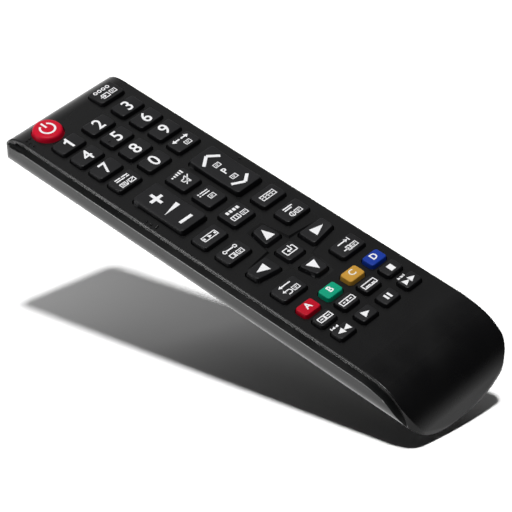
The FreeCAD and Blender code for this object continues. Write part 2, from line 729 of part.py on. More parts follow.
def square_posts(width, low, high):
    # The posts that carry the board, or with another width their pegs and the holes for those.
    half = width / 2
    return [box(side * POST_X - half, side * POST_X + half, y - half, y + half, low, high)
            for y in POST_ROWS for side in (-1, 1)]


def rear_cover():
    body = hull(0).common(outline_prism(SHELL_STEP, COVER_SETBACK))
    reach = SHELL_WIDTH
    rim_depth = PARTING_DEPTH + PARTING_GAP / 2
    low = RIDGE_DEPTH + RIDGE_ROUND
    half = [(reach, -COVER_TOP / 2, 0), (reach, low, 0), (SHELL_HALF, low, 0),
            (SHELL_HALF, RIDGE_DEPTH, RIDGE_ROUND), (RIM_OUTER, rim_depth, 0)]
    other_half = [(-x, depth, radius) for x, depth, radius in reversed(half)]
    above = swept(half + other_half).cut(under_seam(NOSE_SEAM_HEIGHT - PARTING_GAP / 2))
    body = body.cut([above] + nose_rounds(0))
    cavity_rear = TAIL_Y + PARTING_DEPTH + SHELL_WALL
    cavity = hull(SHELL_WALL).common(box(-CAVITY_HALF, CAVITY_HALF, cavity_rear, NOSE_Y - NOSE_WALL,
                                         0, 2 * COVER_TOP))
    cavity = cavity.cut(end_round(NOSE_Y - SHELL_WALL, CHIN_ROUND, CHIN_ROUND - SHELL_WALL, False))
    body = body.cut(cavity)

    roof = BAY_CEILING + BAY_WALL - CELL_CLEARANCE
    bay = box(-BAY_OUTER, BAY_OUTER, DOOR_REAR, BAY_FRONT + BAY_WALL, 0, roof)
    opening_rear, opening_front = DOOR_REAR - DOOR_GAP, DOOR_FRONT + DOOR_GAP
    ledge = box(-BAY_OUTER, BAY_OUTER, opening_rear - LEDGE_MARGIN, opening_front + LEDGE_MARGIN,
                0, LEDGE_HEIGHT)
    tongue_rear = DOOR_REAR - TONGUE_REACH - TONGUE_SWING_ROOM
    tongue_half = TONGUE_INNER + TONGUE_WIDTH + BAY_WALL
    tongue_top = TONGUE_UNDER + TONGUE_THICKNESS + TONGUE_SWING_ROOM
    tongue_house = box(-tongue_half, tongue_half, tongue_rear - BAY_WALL, BAY_REAR, 0,
                       tongue_top + BAY_WALL)
    latch_half = LATCH_WIDTH / 2 + LATCH_GAP
    latch_top = LATCH_HEIGHT + LATCH_GAP
    latch_house = box(-latch_half - BAY_WALL, latch_half + BAY_WALL, BAY_FRONT,
                      NOTCH_FRONT + BAY_WALL, 0, latch_top + BAY_WALL)
    posts = square_posts(POST_WIDTH, 0, BOARD_UNDER) + square_posts(PEG_WIDTH, 0, BOARD_TOP - PEG_CLEARANCE)
    inside = [shape.common(hull(0)) for shape in [bay, ledge, tongue_house, latch_house] + posts]
    rest_half = COLUMN_PITCH / 2
    rests = [box(-rest_half, rest_half, y - RIB_THICKNESS / 2, y + RIB_THICKNESS / 2,
                 roof - EDGE_ROUND, BOARD_UNDER)
             for y in (BAY_REAR + BAY_WALL, (BAY_REAR + BAY_FRONT) / 2)]
    body = body.fuse(inside + rests)

    cuts = [box(-BAY_HALF, BAY_HALF, BAY_REAR, BAY_FRONT, -CUT_MARGIN, BAY_CEILING),
            door_outline(DOOR_GAP, -CUT_MARGIN, FLANK_CENTRE_HEIGHT / 2).cut(hull(SHELL_WALL)),
            box(-latch_half, latch_half, BAY_FRONT + BAY_WALL, NOTCH_FRONT, -CUT_MARGIN, latch_top)]
    for side in (-1, 1):
        cuts.append(tongue_box(side, DOOR_GAP, tongue_rear, opening_rear, SHELL_WALL, tongue_top))
        cuts.append(tongue_box(side, DOOR_GAP, opening_rear, BAY_REAR + EDGE_ROUND,
                               SHELL_WALL / 2, tongue_top))
        slot_x = side * CELL_X
        slot_half = PLATE_TAB_WIDTH / 2 + PLATE_CLEARANCE * 2
        cuts.append(box(slot_x - slot_half, slot_x + slot_half, BAY_FRONT - PLATE_DEPTH - PLATE_CLEARANCE,
                        BAY_FRONT, BAY_CEILING - CUT_MARGIN, roof + CUT_MARGIN))
    for y in snap_rows():
        pocket = snap(y, LIP_CLEARANCE)
        cuts = cuts + [pocket, mirrored(pocket)]
    cuts.append(window_block(WINDOW_CLEARANCE, NOSE_Y - 2 * NOSE_WALL, NOSE_Y + CUT_MARGIN,
                             WINDOW_CORNER + WINDOW_CLEARANCE))
    return one_solid(body.cut(cuts))


# Battery cover

def battery_cover():
    plate = door_outline(0, -CUT_MARGIN, FLANK_CENTRE_HEIGHT / 2)
    plate = plate.common(hull(DOOR_SUNK)).cut(hull(DOOR_SUNK + DOOR_WALL))
    inner = DOOR_SUNK + DOOR_WALL
    additions = []
    for side in (-1, 1):
        additions.append(tongue_box(side, 0, DOOR_REAR - TONGUE_REACH, BAY_REAR,
                                    TONGUE_UNDER, TONGUE_UNDER + TONGUE_THICKNESS))
        additions.append(tongue_box(side, 0, DOOR_REAR, BAY_REAR, inner / 2, TONGUE_UNDER + EDGE_ROUND))
    half = LATCH_WIDTH / 2
    additions.append(box(-half, half, DOOR_FRONT - LATCH_WALL, DOOR_FRONT, inner / 2, LATCH_HEIGHT))
    additions.append(box(-half, half, DOOR_FRONT - LATCH_WALL, LATCH_FRONT,
                         LATCH_HEIGHT - LATCH_WALL, LATCH_HEIGHT))
    additions.append(box(-half, half, LATCH_FRONT - LATCH_WALL, LATCH_FRONT, DOOR_WALL / 4, LATCH_HEIGHT))
    additions.append(box(-half, half, LATCH_FRONT - LATCH_WALL, NOTCH_FRONT - CATCH_CLEARANCE,
                         TONGUE_UNDER, TONGUE_UNDER + CATCH_THICKNESS))
    shape = plate.fuse(additions)
    grips = []
    for index in range(GRIP_COUNT):
        y = DOOR_FRONT - LATCH_WALL - (index + 1) * GRIP_PITCH
        grips.append(box(-half, half, y - GRIP_DEPTH, y + GRIP_DEPTH, -CUT_MARGIN, DOOR_SUNK + GRIP_DEPTH))
    return one_solid(shape.cut(grips))


# Keys

def with_base(cap, x, y, width, depth):
    # Adds the flange that holds a key under the face and the plunger that meets the board.
    flange = box(x - width / 2 - FLANGE_WIDTH, x + width / 2 + FLANGE_WIDTH,
                 y - depth / 2 - FLANGE_WIDTH, y + depth / 2 + FLANGE_WIDTH, FLANGE_UNDER, FLANGE_TOP)
    return one_solid(cap.fuse([flange, plunger_box(x, y, width, depth)]))


def plunger_box(x, y, width, depth):
    return box(x - width / 2 + PLUNGER_INSET, x + width / 2 - PLUNGER_INSET,
               y - depth / 2 + PLUNGER_INSET, y + depth / 2 - PLUNGER_INSET, PLUNGER_UNDER, FLANGE_TOP)


def tapered_levels(corners_at, top, draft, edge):
    # Levels of a key that narrows by draft up to the bevel of size edge round its top.
    return [(corners_at(0), FLANGE_UNDER), (corners_at(draft), top - edge), (corners_at(draft + edge), top)]


def plain_key(x, y, width, depth):
    cap = faceted_block(tapered_levels(
        lambda inset: rectangle(x, y, width - 2 * inset, depth - 2 * inset, KEY_CORNER),
        KEY_TOP, KEY_DRAFT, KEY_EDGE))
    return with_base(cap, x, y, width, depth)


def bevelled(shape, height):
    # Bevels the edges that lie wholly above height.
    edges = [edge for edge in shape.Edges if edge.BoundBox.ZMin > height]
    return shape.makeChamfer(KEY_EDGE, edges)


def dish_filled(lowest):
    # Everything under the hollow that the tops of the navigation keys share.
    reach = SIDE_ARM_END + FLANGE_WIDTH
    block = box(-reach, reach, NAVIGATION_Y - reach, NAVIGATION_Y + reach, 0, TALL_KEY_TOP)
    return block.cut(dish(ARM_DISH_RADIUS, lowest))


def enter_key(x, y, width, depth):
    lowest = KEY_TOP - ARM_DISH_DEPTH
    inset = ENTER_DRAFT
    cap = faceted_block([(rectangle(x, y, width, depth, KEY_CORNER), FLANGE_UNDER),
                         (rectangle(x, y, width - 2 * inset, depth - 2 * inset, KEY_CORNER), KEY_TOP)])
    cap = bevelled(cap.common(dish_filled(lowest)), lowest - KEY_EDGE)
    return with_base(cap, x, y, width, depth)


def arm_key(turn, start, end):
    lowest = KEY_TOP - ARM_DISH_DEPTH
    cap = turned_arm(faceted_block([(arm_corners(start, end, 0, KEY_CORNER), FLANGE_UNDER),
                                    (arm_corners(start, end, -ARM_TAPER, KEY_CORNER), TALL_KEY_TOP)]), turn)
    cap = bevelled(cap.common(dish_filled(lowest)), lowest - KEY_EDGE)
    flange = arm_block(start, end, turn, FLANGE_WIDTH, KEY_CORNER, FLANGE_UNDER, FLANGE_TOP)
    plunger = arm_block(start, end, turn, -PLUNGER_INSET, KEY_CORNER, PLUNGER_UNDER, FLANGE_TOP)
    return one_solid(cap.fuse([flange, plunger]))


def power_key():
    # A round button, its outline turned about its own axis, on a square plunger.
    top_radius = POWER_RADIUS - ENTER_DRAFT
    flange_radius = POWER_RADIUS + FLANGE_WIDTH
    profile = [(0, FLANGE_UNDER), (flange_radius, FLANGE_UNDER), (flange_radius, FLANGE_TOP),
               (POWER_RADIUS, FLANGE_TOP), (top_radius, TALL_KEY_TOP - KEY_EDGE),
               (top_radius - KEY_EDGE, TALL_KEY_TOP), (0, TALL_KEY_TOP)]
    points = [POWER_PLACE + Vector(radius, 0, height) for radius, height in profile]
    face = Part.Face(Part.makePolygon(points + points[:1]))
    button = face.revolve(POWER_PLACE, UP, 360)
    inner_square = POWER_RADIUS * math.sqrt(2)
    return one_solid(button.fuse(plunger_box(POWER_PLACE.x, POWER_PLACE.y, inner_square, inner_square)))


def rocker_key(x):
    # A long key with a saddle along it, tilting on a round rib across its middle.
    inset = KEY_DRAFT
    width, depth = ROCKER_WIDTH - 2 * inset, ROCKER_DEPTH - 2 * inset
    cap = faceted_block([
        (rectangle(x, ROCKER_Y, ROCKER_WIDTH, ROCKER_DEPTH, KEY_CORNER), FLANGE_UNDER),
        (rectangle(x, ROCKER_Y, width, depth, KEY_CORNER), ROCKER_TOP)])
    half = ROCKER_DEPTH / 2
    radius = (half ** 2 + ROCKER_SADDLE_DEPTH ** 2) / (2 * ROCKER_SADDLE_DEPTH)
    low = ROCKER_TOP - ROCKER_SADDLE_DEPTH
    cap = cap.cut(Part.makeCylinder(radius, 2 * ROCKER_WIDTH,
                                    Vector(x - ROCKER_WIDTH, ROCKER_Y, low + radius), ACROSS))
    cap = bevelled(cap, low - KEY_EDGE)
    pivot_height = BOARD_TOP + TRAVEL_MARGIN + ROCKER_PIVOT_RADIUS
    pivot = Part.makeCylinder(ROCKER_PIVOT_RADIUS, ROCKER_WIDTH / 2,
                              Vector(x - ROCKER_WIDTH / 4, ROCKER_Y, pivot_height), ACROSS)
    flange_half = ROCKER_WIDTH / 2 + FLANGE_WIDTH
    flange_reach = ROCKER_FLANGE_DEPTH / 2
    flange = box(x - flange_half, x + flange_half, ROCKER_Y - flange_reach, ROCKER_Y + flange_reach,
                 FLANGE_UNDER - ROCKER_FLANGE_DROP, FLANGE_TOP - ROCKER_FLANGE_DROP)
    plunger = plunger_box(x, ROCKER_Y, ROCKER_WIDTH, ROCKER_DEPTH)
    return one_solid(cap.fuse([pivot, flange, plunger]))


# Keypad mat and circuit board

def keypad_mat():
    rear = PLAY_ROW_Y - SMALL_DEPTH / 2 - 2 * MAT_MARGIN
    front = min(TOP_ROW_Y + POWER_RADIUS + MAT_MARGIN, BOARD_FRONT)
    sheet = rounded_block(0, (rear + front) / 2, 2 * BOARD_HALF, front - rear, KEY_CORNER,
                          BOARD_TOP, MAT_TOP)
    low, high = BOARD_TOP - MAT_THICKNESS, MAT_TOP + MAT_THICKNESS
    windows = key_shapes(MAT_CLEARANCE - PLUNGER_INSET, low, high, 0)
    return one_solid(sheet.cut(windows + square_posts(PEG_WIDTH + 2 * PEG_CLEARANCE, low, high)))


def circuit_board():
    middle = (BOARD_FRONT + BOARD_REAR) / 2
    board = rounded_block(0, middle, 2 * BOARD_HALF, BOARD_FRONT - BOARD_REAR, KEY_CORNER,
                          BOARD_UNDER, BOARD_TOP)
    holes = square_posts(PEG_WIDTH + 2 * PEG_CLEARANCE, BOARD_UNDER - BOARD_THICKNESS,
                         BOARD_TOP + BOARD_THICKNESS)
    return one_solid(board.cut(holes))


def controller_chip():
    body_top = BOARD_UNDER - CHIP_STANDOFF
    half = CHIP_WIDTH / 2
    shapes = [box(-half, half, CHIP_Y - CHIP_LENGTH / 2, CHIP_Y + CHIP_LENGTH / 2,
                  body_top - CHIP_THICKNESS, body_top)]
    for index in range(CHIP_LEADS):
        y = CHIP_Y + (index - (CHIP_LEADS - 1) / 2) * CHIP_LEAD_PITCH
        lead = box(half - CHIP_LEAD_WIDTH, half + CHIP_LEAD_REACH, y - CHIP_LEAD_WIDTH / 2,
                   y + CHIP_LEAD_WIDTH / 2, BOARD_UNDER - CHIP_LEAD_THICKNESS, BOARD_UNDER)
        shapes = shapes + [lead, mirrored(lead)]
    return one_solid(shapes[0].fuse(shapes[1:]))


def capacitor():
    foot = Vector(-TALL_PART_X, TALL_PART_Y, BOARD_UNDER - CAPACITOR_LENGTH)
    return Part.makeCylinder(CAPACITOR_RADIUS, CAPACITOR_LENGTH, foot)


def resonator():
    return box(TALL_PART_X - RESONATOR_DEPTH / 2, TALL_PART_X + RESONATOR_DEPTH / 2,
               CHIP_Y - RESONATOR_WIDTH / 2, CHIP_Y + RESONATOR_WIDTH / 2,
               BOARD_UNDER - RESONATOR_HEIGHT, BOARD_UNDER)


def transistor():
    x, y = TALL_PART_X, TALL_PART_Y
    reach = 2 * TRANSISTOR_RADIUS
    can = Part.makeCylinder(TRANSISTOR_RADIUS, TRANSISTOR_HEIGHT,
                            Vector(x, y, BOARD_UNDER - TRANSISTOR_HEIGHT))
    return can.cut(box(x - reach, x + reach, y + TRANSISTOR_RADIUS / 2, y + reach, 0, BOARD_UNDER))


def resistors():
    bodies = []
    start = CHIP_Y - CHIP_LENGTH / 2 - RESISTOR_COUNT * RESISTOR_PITCH
    for index in range(RESISTOR_COUNT):
        y = start + index * RESISTOR_PITCH
        bodies.append(box(-RESISTOR_LENGTH / 2, RESISTOR_LENGTH / 2, y, y + RESISTOR_WIDTH,
                          BOARD_UNDER - RESISTOR_HEIGHT, BOARD_UNDER))
    return Part.makeCompound(bodies)


# Emitter and window

WINDOW_BACK = NOSE_Y - NOSE_WALL - WINDOW_CLEARANCE


def window_block(grow, y_low, y_high, corner):
    half, tall = WINDOW_WIDTH / 2 + grow, WINDOW_HEIGHT / 2 + grow
    corners = [(-half, EMITTER_HEIGHT - tall, corner), (half, EMITTER_HEIGHT - tall, corner),
               (half, EMITTER_HEIGHT + tall, corner), (-half, EMITTER_HEIGHT + tall, corner)]
    face = Part.Face(rounded_wire(corners, lambda a, b: Vector(a, y_low, b)))
    return face.extrude(Vector(0, y_high - y_low, 0))


def ir_window():
    lens = window_block(0, WINDOW_BACK - WINDOW_FLANGE / 2, NOSE_Y, WINDOW_CORNER)
    flange = window_block(WINDOW_FLANGE, WINDOW_BACK - WINDOW_FLANGE, WINDOW_BACK, 0)
    return one_solid(lens.cut(nose_rounds(DOOR_SUNK)).fuse(flange))


def ir_led():
    tip = WINDOW_BACK - WINDOW_FLANGE - CELL_CLEARANCE
    back = tip - EMITTER_RADIUS - EMITTER_BODY
    rim = EMITTER_RADIUS + EMITTER_FLANGE
    step = back + 2 * EMITTER_FLANGE
    profile = [(0, back), (rim, back), (rim, step), (EMITTER_RADIUS, step),
               (EMITTER_RADIUS, tip - EMITTER_NOSE), (EMITTER_RADIUS - EMITTER_NOSE, tip), (0, tip)]
    points = [Vector(radius, y, EMITTER_HEIGHT) for radius, y in profile]
    bulb = Part.Face(Part.makePolygon(points + points[:1]))
    bulb = bulb.revolve(Vector(0, 0, EMITTER_HEIGHT), ALONG, 360)
    half = EMITTER_LEAD / 2
    bend = BOARD_FRONT - BOARD_THICKNESS
    leads = []
    for x in (-EMITTER_RADIUS / 2, EMITTER_RADIUS / 2):
        leads.append(box(x - half, x + half, bend - half, back + half, EMITTER_HEIGHT - half,
                         EMITTER_HEIGHT + half))
        leads.append(box(x - half, x + half, bend - half, bend + half, EMITTER_HEIGHT - half, BOARD_UNDER))
    return one_solid(bulb.fuse(leads))


# Cells and contacts

def cell(side):
    # The left cell's nub is towards the nose and the right cell's is towards the tail.
    profile = [Vector(0, 0, 0), Vector(CELL_RADIUS, 0, 0), Vector(CELL_RADIUS, CELL_BODY, 0),
               Vector(CELL_NUB_RADIUS, CELL_BODY, 0), Vector(CELL_NUB_RADIUS, CELL_LENGTH, 0),
               Vector(0, CELL_LENGTH, 0)]
    face = Part.Face(Part.makePolygon(profile + profile[:1]))
    shape = face.revolve(Vector(0, 0, 0), ALONG, 360)
    base = BAY_REAR + PLATE_DEPTH + COIL_LENGTH
    if side > 0:
        shape.rotate(Vector(0, 0, 0), UP, 180)
        base = BAY_FRONT - PLATE_DEPTH - COIL_LENGTH
    shape.translate(Vector(side * CELL_X, base, CELL_HEIGHT))
    return shape


def biarc(start, start_way, finish, finish_way):
    # Two arcs that leave start along start_way and reach finish along finish_way.
    chord = finish - start
    total = start_way + finish_way
    a = 2 * (1 - start_way.dot(finish_way))
    b = chord.dot(total)
    reach = (-b + math.sqrt(b * b + a * chord.dot(chord))) / a
    first = start + start_way * reach
    second = finish - finish_way * reach
    joint = (first + second) * 0.5
    edges = []
    for tail, knee, head in ((start, first, joint), (joint, second, finish)):
        back = (tail - knee).normalize()
        ahead = (head - knee).normalize()
        half_angle = back.getAngle(ahead) / 2
        run = (tail - knee).Length
        radius = run * math.tan(half_angle)
        inward = (back + ahead).normalize()
        middle = knee + inward * (radius / math.sin(half_angle) - radius)
        edges.append(Part.Arc(tail, middle, head).toShape())
    return edges


def coil_spot(foot, way, turn):
    # A point on the middle line of a conical spring, so many turns up from its foot.
    share = turn / COIL_TURNS
    radius = COIL_BASE_RADIUS + (COIL_TIP_RADIUS - COIL_BASE_RADIUS) * share
    height = COIL_WIRE / 2 + (COIL_LENGTH - COIL_WIRE) * share
    angle = 2 * math.pi * turn
    return foot + Vector(radius * math.cos(angle), way * height, radius * math.sin(angle))


def coil_heading(foot, way, turn):
    small = COIL_TURNS / 1e4
    return (coil_spot(foot, way, turn + small) - coil_spot(foot, way, turn - small)).normalize()


def coil(foot, way):
    # A conical compression spring that stands on foot and rises along way (+1 or -1 on Y).
    edges = []
    for step in range(int(round(COIL_TURNS * 4))):
        begin, end = step / 4, (step + 1) / 4
        edges = edges + biarc(coil_spot(foot, way, begin), coil_heading(foot, way, begin),
                              coil_spot(foot, way, end), coil_heading(foot, way, end))
    path = Part.Wire(edges)
    start = coil_spot(foot, way, 0)
    upward = coil_heading(foot, way, 0).cross(ACROSS).normalize()
    corners = []
    for index in range(COIL_SIDES):
        angle = 2 * math.pi * index / COIL_SIDES
        away = ACROSS * math.cos(angle) + upward * math.sin(angle)
        corners.append(start + away * (COIL_WIRE / 2))
    section = Part.makePolygon(corners + corners[:1])
    return path.makePipeShell([section], True, False)


def coil_gap():
    # Least clear distance between parts of the wire that are half a turn or more apart.
    origin = Vector(0, 0, 0)
    half_turn = COIL_STEPS // 2
    points = [coil_spot(origin, 1, index / COIL_STEPS) for index in range(int(COIL_TURNS * COIL_STEPS) + 1)]
    least = min((far - near).Length for index, near in enumerate(points)
                for far in points[index + half_turn:])
    return least - COIL_WIRE


def plate(x_low, x_high, y, way):
    # A contact plate against an end wall of the bay; way points into the bay.
    low = CELL_HEIGHT - PLATE_SIZE / 2
    y_low, y_high = sorted((y + way * PLATE_CLEARANCE, y + way * PLATE_DEPTH))
    return box(x_low, x_high, y_low, y_high, low, low + PLATE_SIZE)


def dimple(x, y, way):
    return Part.makeCylinder(DIMPLE_RADIUS, DIMPLE_HEIGHT + PLATE_THICKNESS / 2,
                             Vector(x, y + way * PLATE_THICKNESS / 2, CELL_HEIGHT), ALONG * way)


def board_tab(x):
    half = PLATE_TAB_WIDTH / 2
    return box(x - half, x + half, BAY_FRONT - PLATE_DEPTH, BAY_FRONT - PLATE_CLEARANCE,
               CELL_HEIGHT, BOARD_UNDER)


def positive_contact():
    x = -CELL_X
    base = plate(x - PLATE_SIZE / 2, x + PLATE_SIZE / 2, BAY_FRONT, -1)
    return one_solid(base.fuse([dimple(x, BAY_FRONT - PLATE_CLEARANCE, -1), board_tab(x)]))


def negative_spring():
    x = CELL_X
    base = plate(x - PLATE_SIZE / 2, x + PLATE_SIZE / 2, BAY_FRONT, -1).fuse(board_tab(x))
    spring = coil(Vector(x, BAY_FRONT - PLATE_DEPTH, CELL_HEIGHT), -1)
    return Part.makeCompound([one_solid(base), spring])


def bridge_contact():
    base = plate(-CELL_X - PLATE_SIZE / 2, CELL_X + PLATE_SIZE / 2, BAY_REAR, 1)
    base = base.fuse(dimple(CELL_X, BAY_REAR + PLATE_CLEARANCE, 1))
    spring = coil(Vector(-CELL_X, BAY_REAR + PLATE_DEPTH, CELL_HEIGHT), 1)
    return Part.makeCompound([one_solid(base), spring])


def write_parts():
    os.makedirs("parts", exist_ok=True)
    shapes = {
        "front_cover": front_cover(),
        "rear_cover": rear_cover(),
        "battery_cover": battery_cover(),
        "keypad_mat": keypad_mat(),
        "circuit_board": circuit_board(),
        "controller_chip": controller_chip(),
        "capacitor": capacitor(),
        "resonator": resonator(),
        "transistor": transistor(),
        "resistors": resistors(),
        "ir_led": ir_led(),
        "ir_window": ir_window(),
        "cell_left": cell(-1),
        "cell_right": cell(1),
        "positive_contact": positive_contact(),
        "negative_spring": negative_spring(),
        "bridge_contact": bridge_contact(),
        "key_power": power_key(),
    }
    for name, x, y, width, depth in KEYS:
        maker = enter_key if name == "key_enter" else plain_key
        shapes[name] = maker(x, y, width, depth)
    for name, x in ROCKERS:
        shapes[name] = rocker_key(x)
    for name, turn, start, end in ARMS:
        shapes[name] = arm_key(turn, start, end)
    for name, shape in shapes.items():
        shape.exportStep(os.path.join("parts", name + ".step"))
        print(name, len(shape.Solids), shape.isValid(), round(shape.Volume, 2))
    print("coil gap", round(coil_gap(), 3), "nodes", len(shapes))


write_parts()
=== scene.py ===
import math
import bpy
import bmesh
from mathutils import Matrix, Vector


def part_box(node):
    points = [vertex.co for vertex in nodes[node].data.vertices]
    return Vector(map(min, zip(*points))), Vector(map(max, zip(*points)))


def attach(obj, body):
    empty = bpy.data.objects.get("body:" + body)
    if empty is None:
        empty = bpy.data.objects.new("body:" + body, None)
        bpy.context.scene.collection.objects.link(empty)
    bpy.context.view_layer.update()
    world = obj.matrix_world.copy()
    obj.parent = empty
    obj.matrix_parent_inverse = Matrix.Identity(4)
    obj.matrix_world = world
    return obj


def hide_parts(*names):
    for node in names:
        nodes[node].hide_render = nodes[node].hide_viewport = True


# Looks of the television remote control: finishes for every piece, softly rounded keys,
# white marks on them, small raised dots on the face, the rim of the shell at the corners
# of the nose, and the floor, the light and the camera of the photograph.
# Sizes of keys and marks are in millimetres, and MM turns them into metres.

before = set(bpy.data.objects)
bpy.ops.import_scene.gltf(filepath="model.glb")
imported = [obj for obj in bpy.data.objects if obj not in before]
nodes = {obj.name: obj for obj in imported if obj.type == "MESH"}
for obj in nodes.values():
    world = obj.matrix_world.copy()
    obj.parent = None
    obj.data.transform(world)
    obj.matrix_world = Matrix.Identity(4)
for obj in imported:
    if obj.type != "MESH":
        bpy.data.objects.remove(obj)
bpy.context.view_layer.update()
scene = bpy.context.scene

MM = 0.001

# Distances under which points or heights are the same: as a rule, on an arc, and in the
# outline of a character
NEAR = 0.001
NEAR_ARC = 0.01
NEAR_CHARACTER = 0.0005

# Camera: the place and the turn from which the photograph was taken
CAMERA_PLACE = Vector((-0.38957, -0.36642, 0.51121))
CAMERA_RIGHT = Vector((0.68723302, -0.72638862, 0.00838796))
CAMERA_UP = Vector((0.49428688, 0.47604188, 0.72736828))
CAMERA_AHEAD = Vector((0.53234506, 0.49572544, -0.68619606))
FOCAL_PIXELS = 2280.0
FRAME_PIXELS = 512.0
SENSOR_WIDTH = 36.0
CLIP_START = 0.01
CLIP_END = 20.0

# Heights and margins of the keys, as the handset is built
COVER_TOP = 20.65
FLANGE_WIDTH = 0.45
FLANGE_UNDER = 18.5
FLANGE_TOP = 18.95
PLUNGER_INSET = 0.6
KEY_DRAFT = 0.25
KEY_CORNER = 1.0
KEY_ROUND = 0.35
ROUND_STEPS = 4
CORNER_STEPS = 5
KEY_SHARP_ANGLE = 40

# The round key, the long keys and the navigation keys
POWER_ROUND = 0.8
POWER_FLARE = 0.2
POWER_DRAFT = 0.45
POWER_DROP = 0.4
POWER_STEPS = 72
ENTER_DRAFT = 0.45
SADDLE_DEPTH = 0.45
SADDLE_STEP = 1.5
ROCKER_FLANGE_DEPTH = 5.0
ROCKER_FLANGE_DROP = 0.3
ROCKER_FLANGE_CORNER = 0.2
PIVOT_RADIUS = 0.8
PIVOT_STEPS = 24
ARM_INNER_HALF = 3.9
ARM_OUTER_HALF = 2.9
ARM_TAPER = 0.5
DISH_RADIUS = 125.0
DISH_LOWEST = 21.05
ARM_TOP = 22.8

# Marks on the keys
INK_THICKNESS = 0.05
INK_SINK = 0.02
INK_SHARP_ANGLE = 30
LINE = 0.32
WORD_LINE = 0.42
DIGIT_HEIGHT = 4.9
LETTER_HEIGHT = 2.5
PROGRAM_LETTER_HEIGHT = 2.7
BOLDNESS = 0.06
STROKE_WEIGHT = 1.2
DISC_STEPS = 16
RING_STEP_ANGLE = 9
RING_LEAST_STEPS = 8
CURVE_STEPS = 6

# Raised dots on the face, and the small bump on the key of digit 5, from its middle
DOT_RADIUS = 0.45
DOT_HEIGHT = 0.4
DOT_STEPS = (16, 8)
DOT_PLACES = ((-19.9, 80.9), (-21.5, 80.7), (-21.5, 78.9), (-21.5, 77.0),
              (-21.6, 24.0), (-21.6, 22.0), (-20.7, 19.9), (-21.6, 19.8), (21.2, 24.0))
BUMP_PLACE = (-3.7, -0.15)

# Rim of the shell round the corners of the nose: its outer side, width and heights, where
# it starts, the middle of its corner, and the roll of the nose that it stays inside
RIM_OUTER = 23.64
RIM_WIDTH = 1.05
RIM_LOW = 14.6
RIM_TOP = 16.0
RIM_FRONT = 14.86
RIM_INNER_TOP = 17.22
RIM_ROUND = 0.62
RIM_START = 79.5
RIM_CORNER = (19.65, 87.15)
NOSE_BEND = (81.15, 11.15)
NOSE_REACH = 9.98
RIM_STEPS = 12

# Floor: where the tail touches it, how it falls away to x and y, and how white it is
FLOOR_TOUCH = Vector((-23.65, -86.0, 0)) * MM
FLOOR_FALL = (0.26, 0.339)
FLOOR_DROP = 0.6 * MM
FLOOR_WHITE = 1.25
FLOOR_HALF = 3.0

# Light from around: its strengths, and the spans of direction over which it changes
WORLD_BELOW = 1.0
WORLD_TAIL = 0.8
WORLD_FRONT = 0.01
WORLD_BACK = 0.85
TABLE_FADE = (-0.5, 0.0)
TAIL_FADE = (-0.3, 0.3)
BACK_FADE = (0.2, 1.0)
RIGHT_FADE = (-0.1, 0.4)

# Lamps. Each area lamp has a place, an aim, a size and a power, and the word says whether
# it leaves out the floor or lights the floor alone.
OVERHEAD_STRENGTH = 2.7
OVERHEAD_ANGLE = 6.0
EDGE_LAMP = ("edge_lamp", (-1.26, 0.744, -0.32), (0.0, 0.0, 0.01), (0.45, 1.0), 13.0, "EXCLUDE")
GLINT_LAMP = ("glint_lamp", (-0.68, 0.75, 1.10), (0.0, 0.0, 0.01), (0.15, 0.15), 4.0, "EXCLUDE")
NOSE_LAMP = ("nose_lamp", (-0.02, 0.20, 0.052), (-0.02, 0.06, -0.05), (0.05, 0.05), 0.066, "INCLUDE")

# Finishes of moulded pieces: a dark and a light shade, the least and greatest roughness,
# the size and the depth of the grain, and the specular level
SATIN = (0.24, 0.32)
SMOOTH = (0.26, 0.34)
RUBBER = (0.42, 0.50)
DULL = (0.5, 0.6)
MOULDED = {
    "face_plastic": ((0.0042, 0.0042, 0.0046), (0.0056, 0.0056, 0.0058), SATIN, 0.28, 0.010, 0.3),
    "shell_plastic": ((0.0050, 0.0056, 0.0056), (0.0064, 0.0070, 0.0070), SMOOTH, 0.30, 0.008, 0.5),
    "key_rubber": ((0.0055, 0.0055, 0.0066), (0.0070, 0.0070, 0.0082), RUBBER, 0.22, 0.008, 0.3),
    "key_power_red": ((0.55, 0.002, 0.020), (0.61, 0.004, 0.027), RUBBER, 0.22, 0.005, 0.15),
    "key_red": ((0.44, 0.001, 0.014), (0.50, 0.003, 0.020), RUBBER, 0.22, 0.005, 0.15),
    "key_green": ((0.001, 0.30, 0.17), (0.002, 0.35, 0.20), RUBBER, 0.22, 0.005, 0.15),
    "key_amber": ((0.50, 0.26, 0.032), (0.56, 0.30, 0.044), RUBBER, 0.22, 0.005, 0.15),
    "key_blue": ((0.006, 0.035, 0.30), (0.010, 0.045, 0.36), RUBBER, 0.22, 0.005, 0.15),
    "mat_rubber": ((0.10, 0.10, 0.105), (0.12, 0.12, 0.125), (0.6, 0.7), 0.4, 0.01, 0.5),
    "chip_epoxy": ((0.012, 0.012, 0.013), (0.018, 0.018, 0.019), DULL, 0.12, 0.01, 0.5),
    "capacitor_sleeve": ((0.01, 0.015, 0.05), (0.014, 0.02, 0.06), (0.25, 0.35), 1.0, 0.003, 0.5),
    "resonator_ceramic": ((0.50, 0.20, 0.03), (0.56, 0.24, 0.04), (0.35, 0.5), 0.5, 0.01, 0.5),
    "resistor_coat": ((0.03, 0.03, 0.032), (0.05, 0.05, 0.052), (0.4, 0.5), 0.2, 0.005, 0.5),
    "emitter_epoxy": ((0.10, 0.12, 0.20), (0.14, 0.16, 0.26), (0.05, 0.1), 2.0, 0.001, 0.5),
    "white_ink": ((0.82, 0.82, 0.84), (0.88, 0.88, 0.89), DULL, 0.2, 0.004, 0.3),
    "cream_ink": ((0.74, 0.72, 0.62), (0.80, 0.78, 0.70), DULL, 0.2, 0.004, 0.3),
}

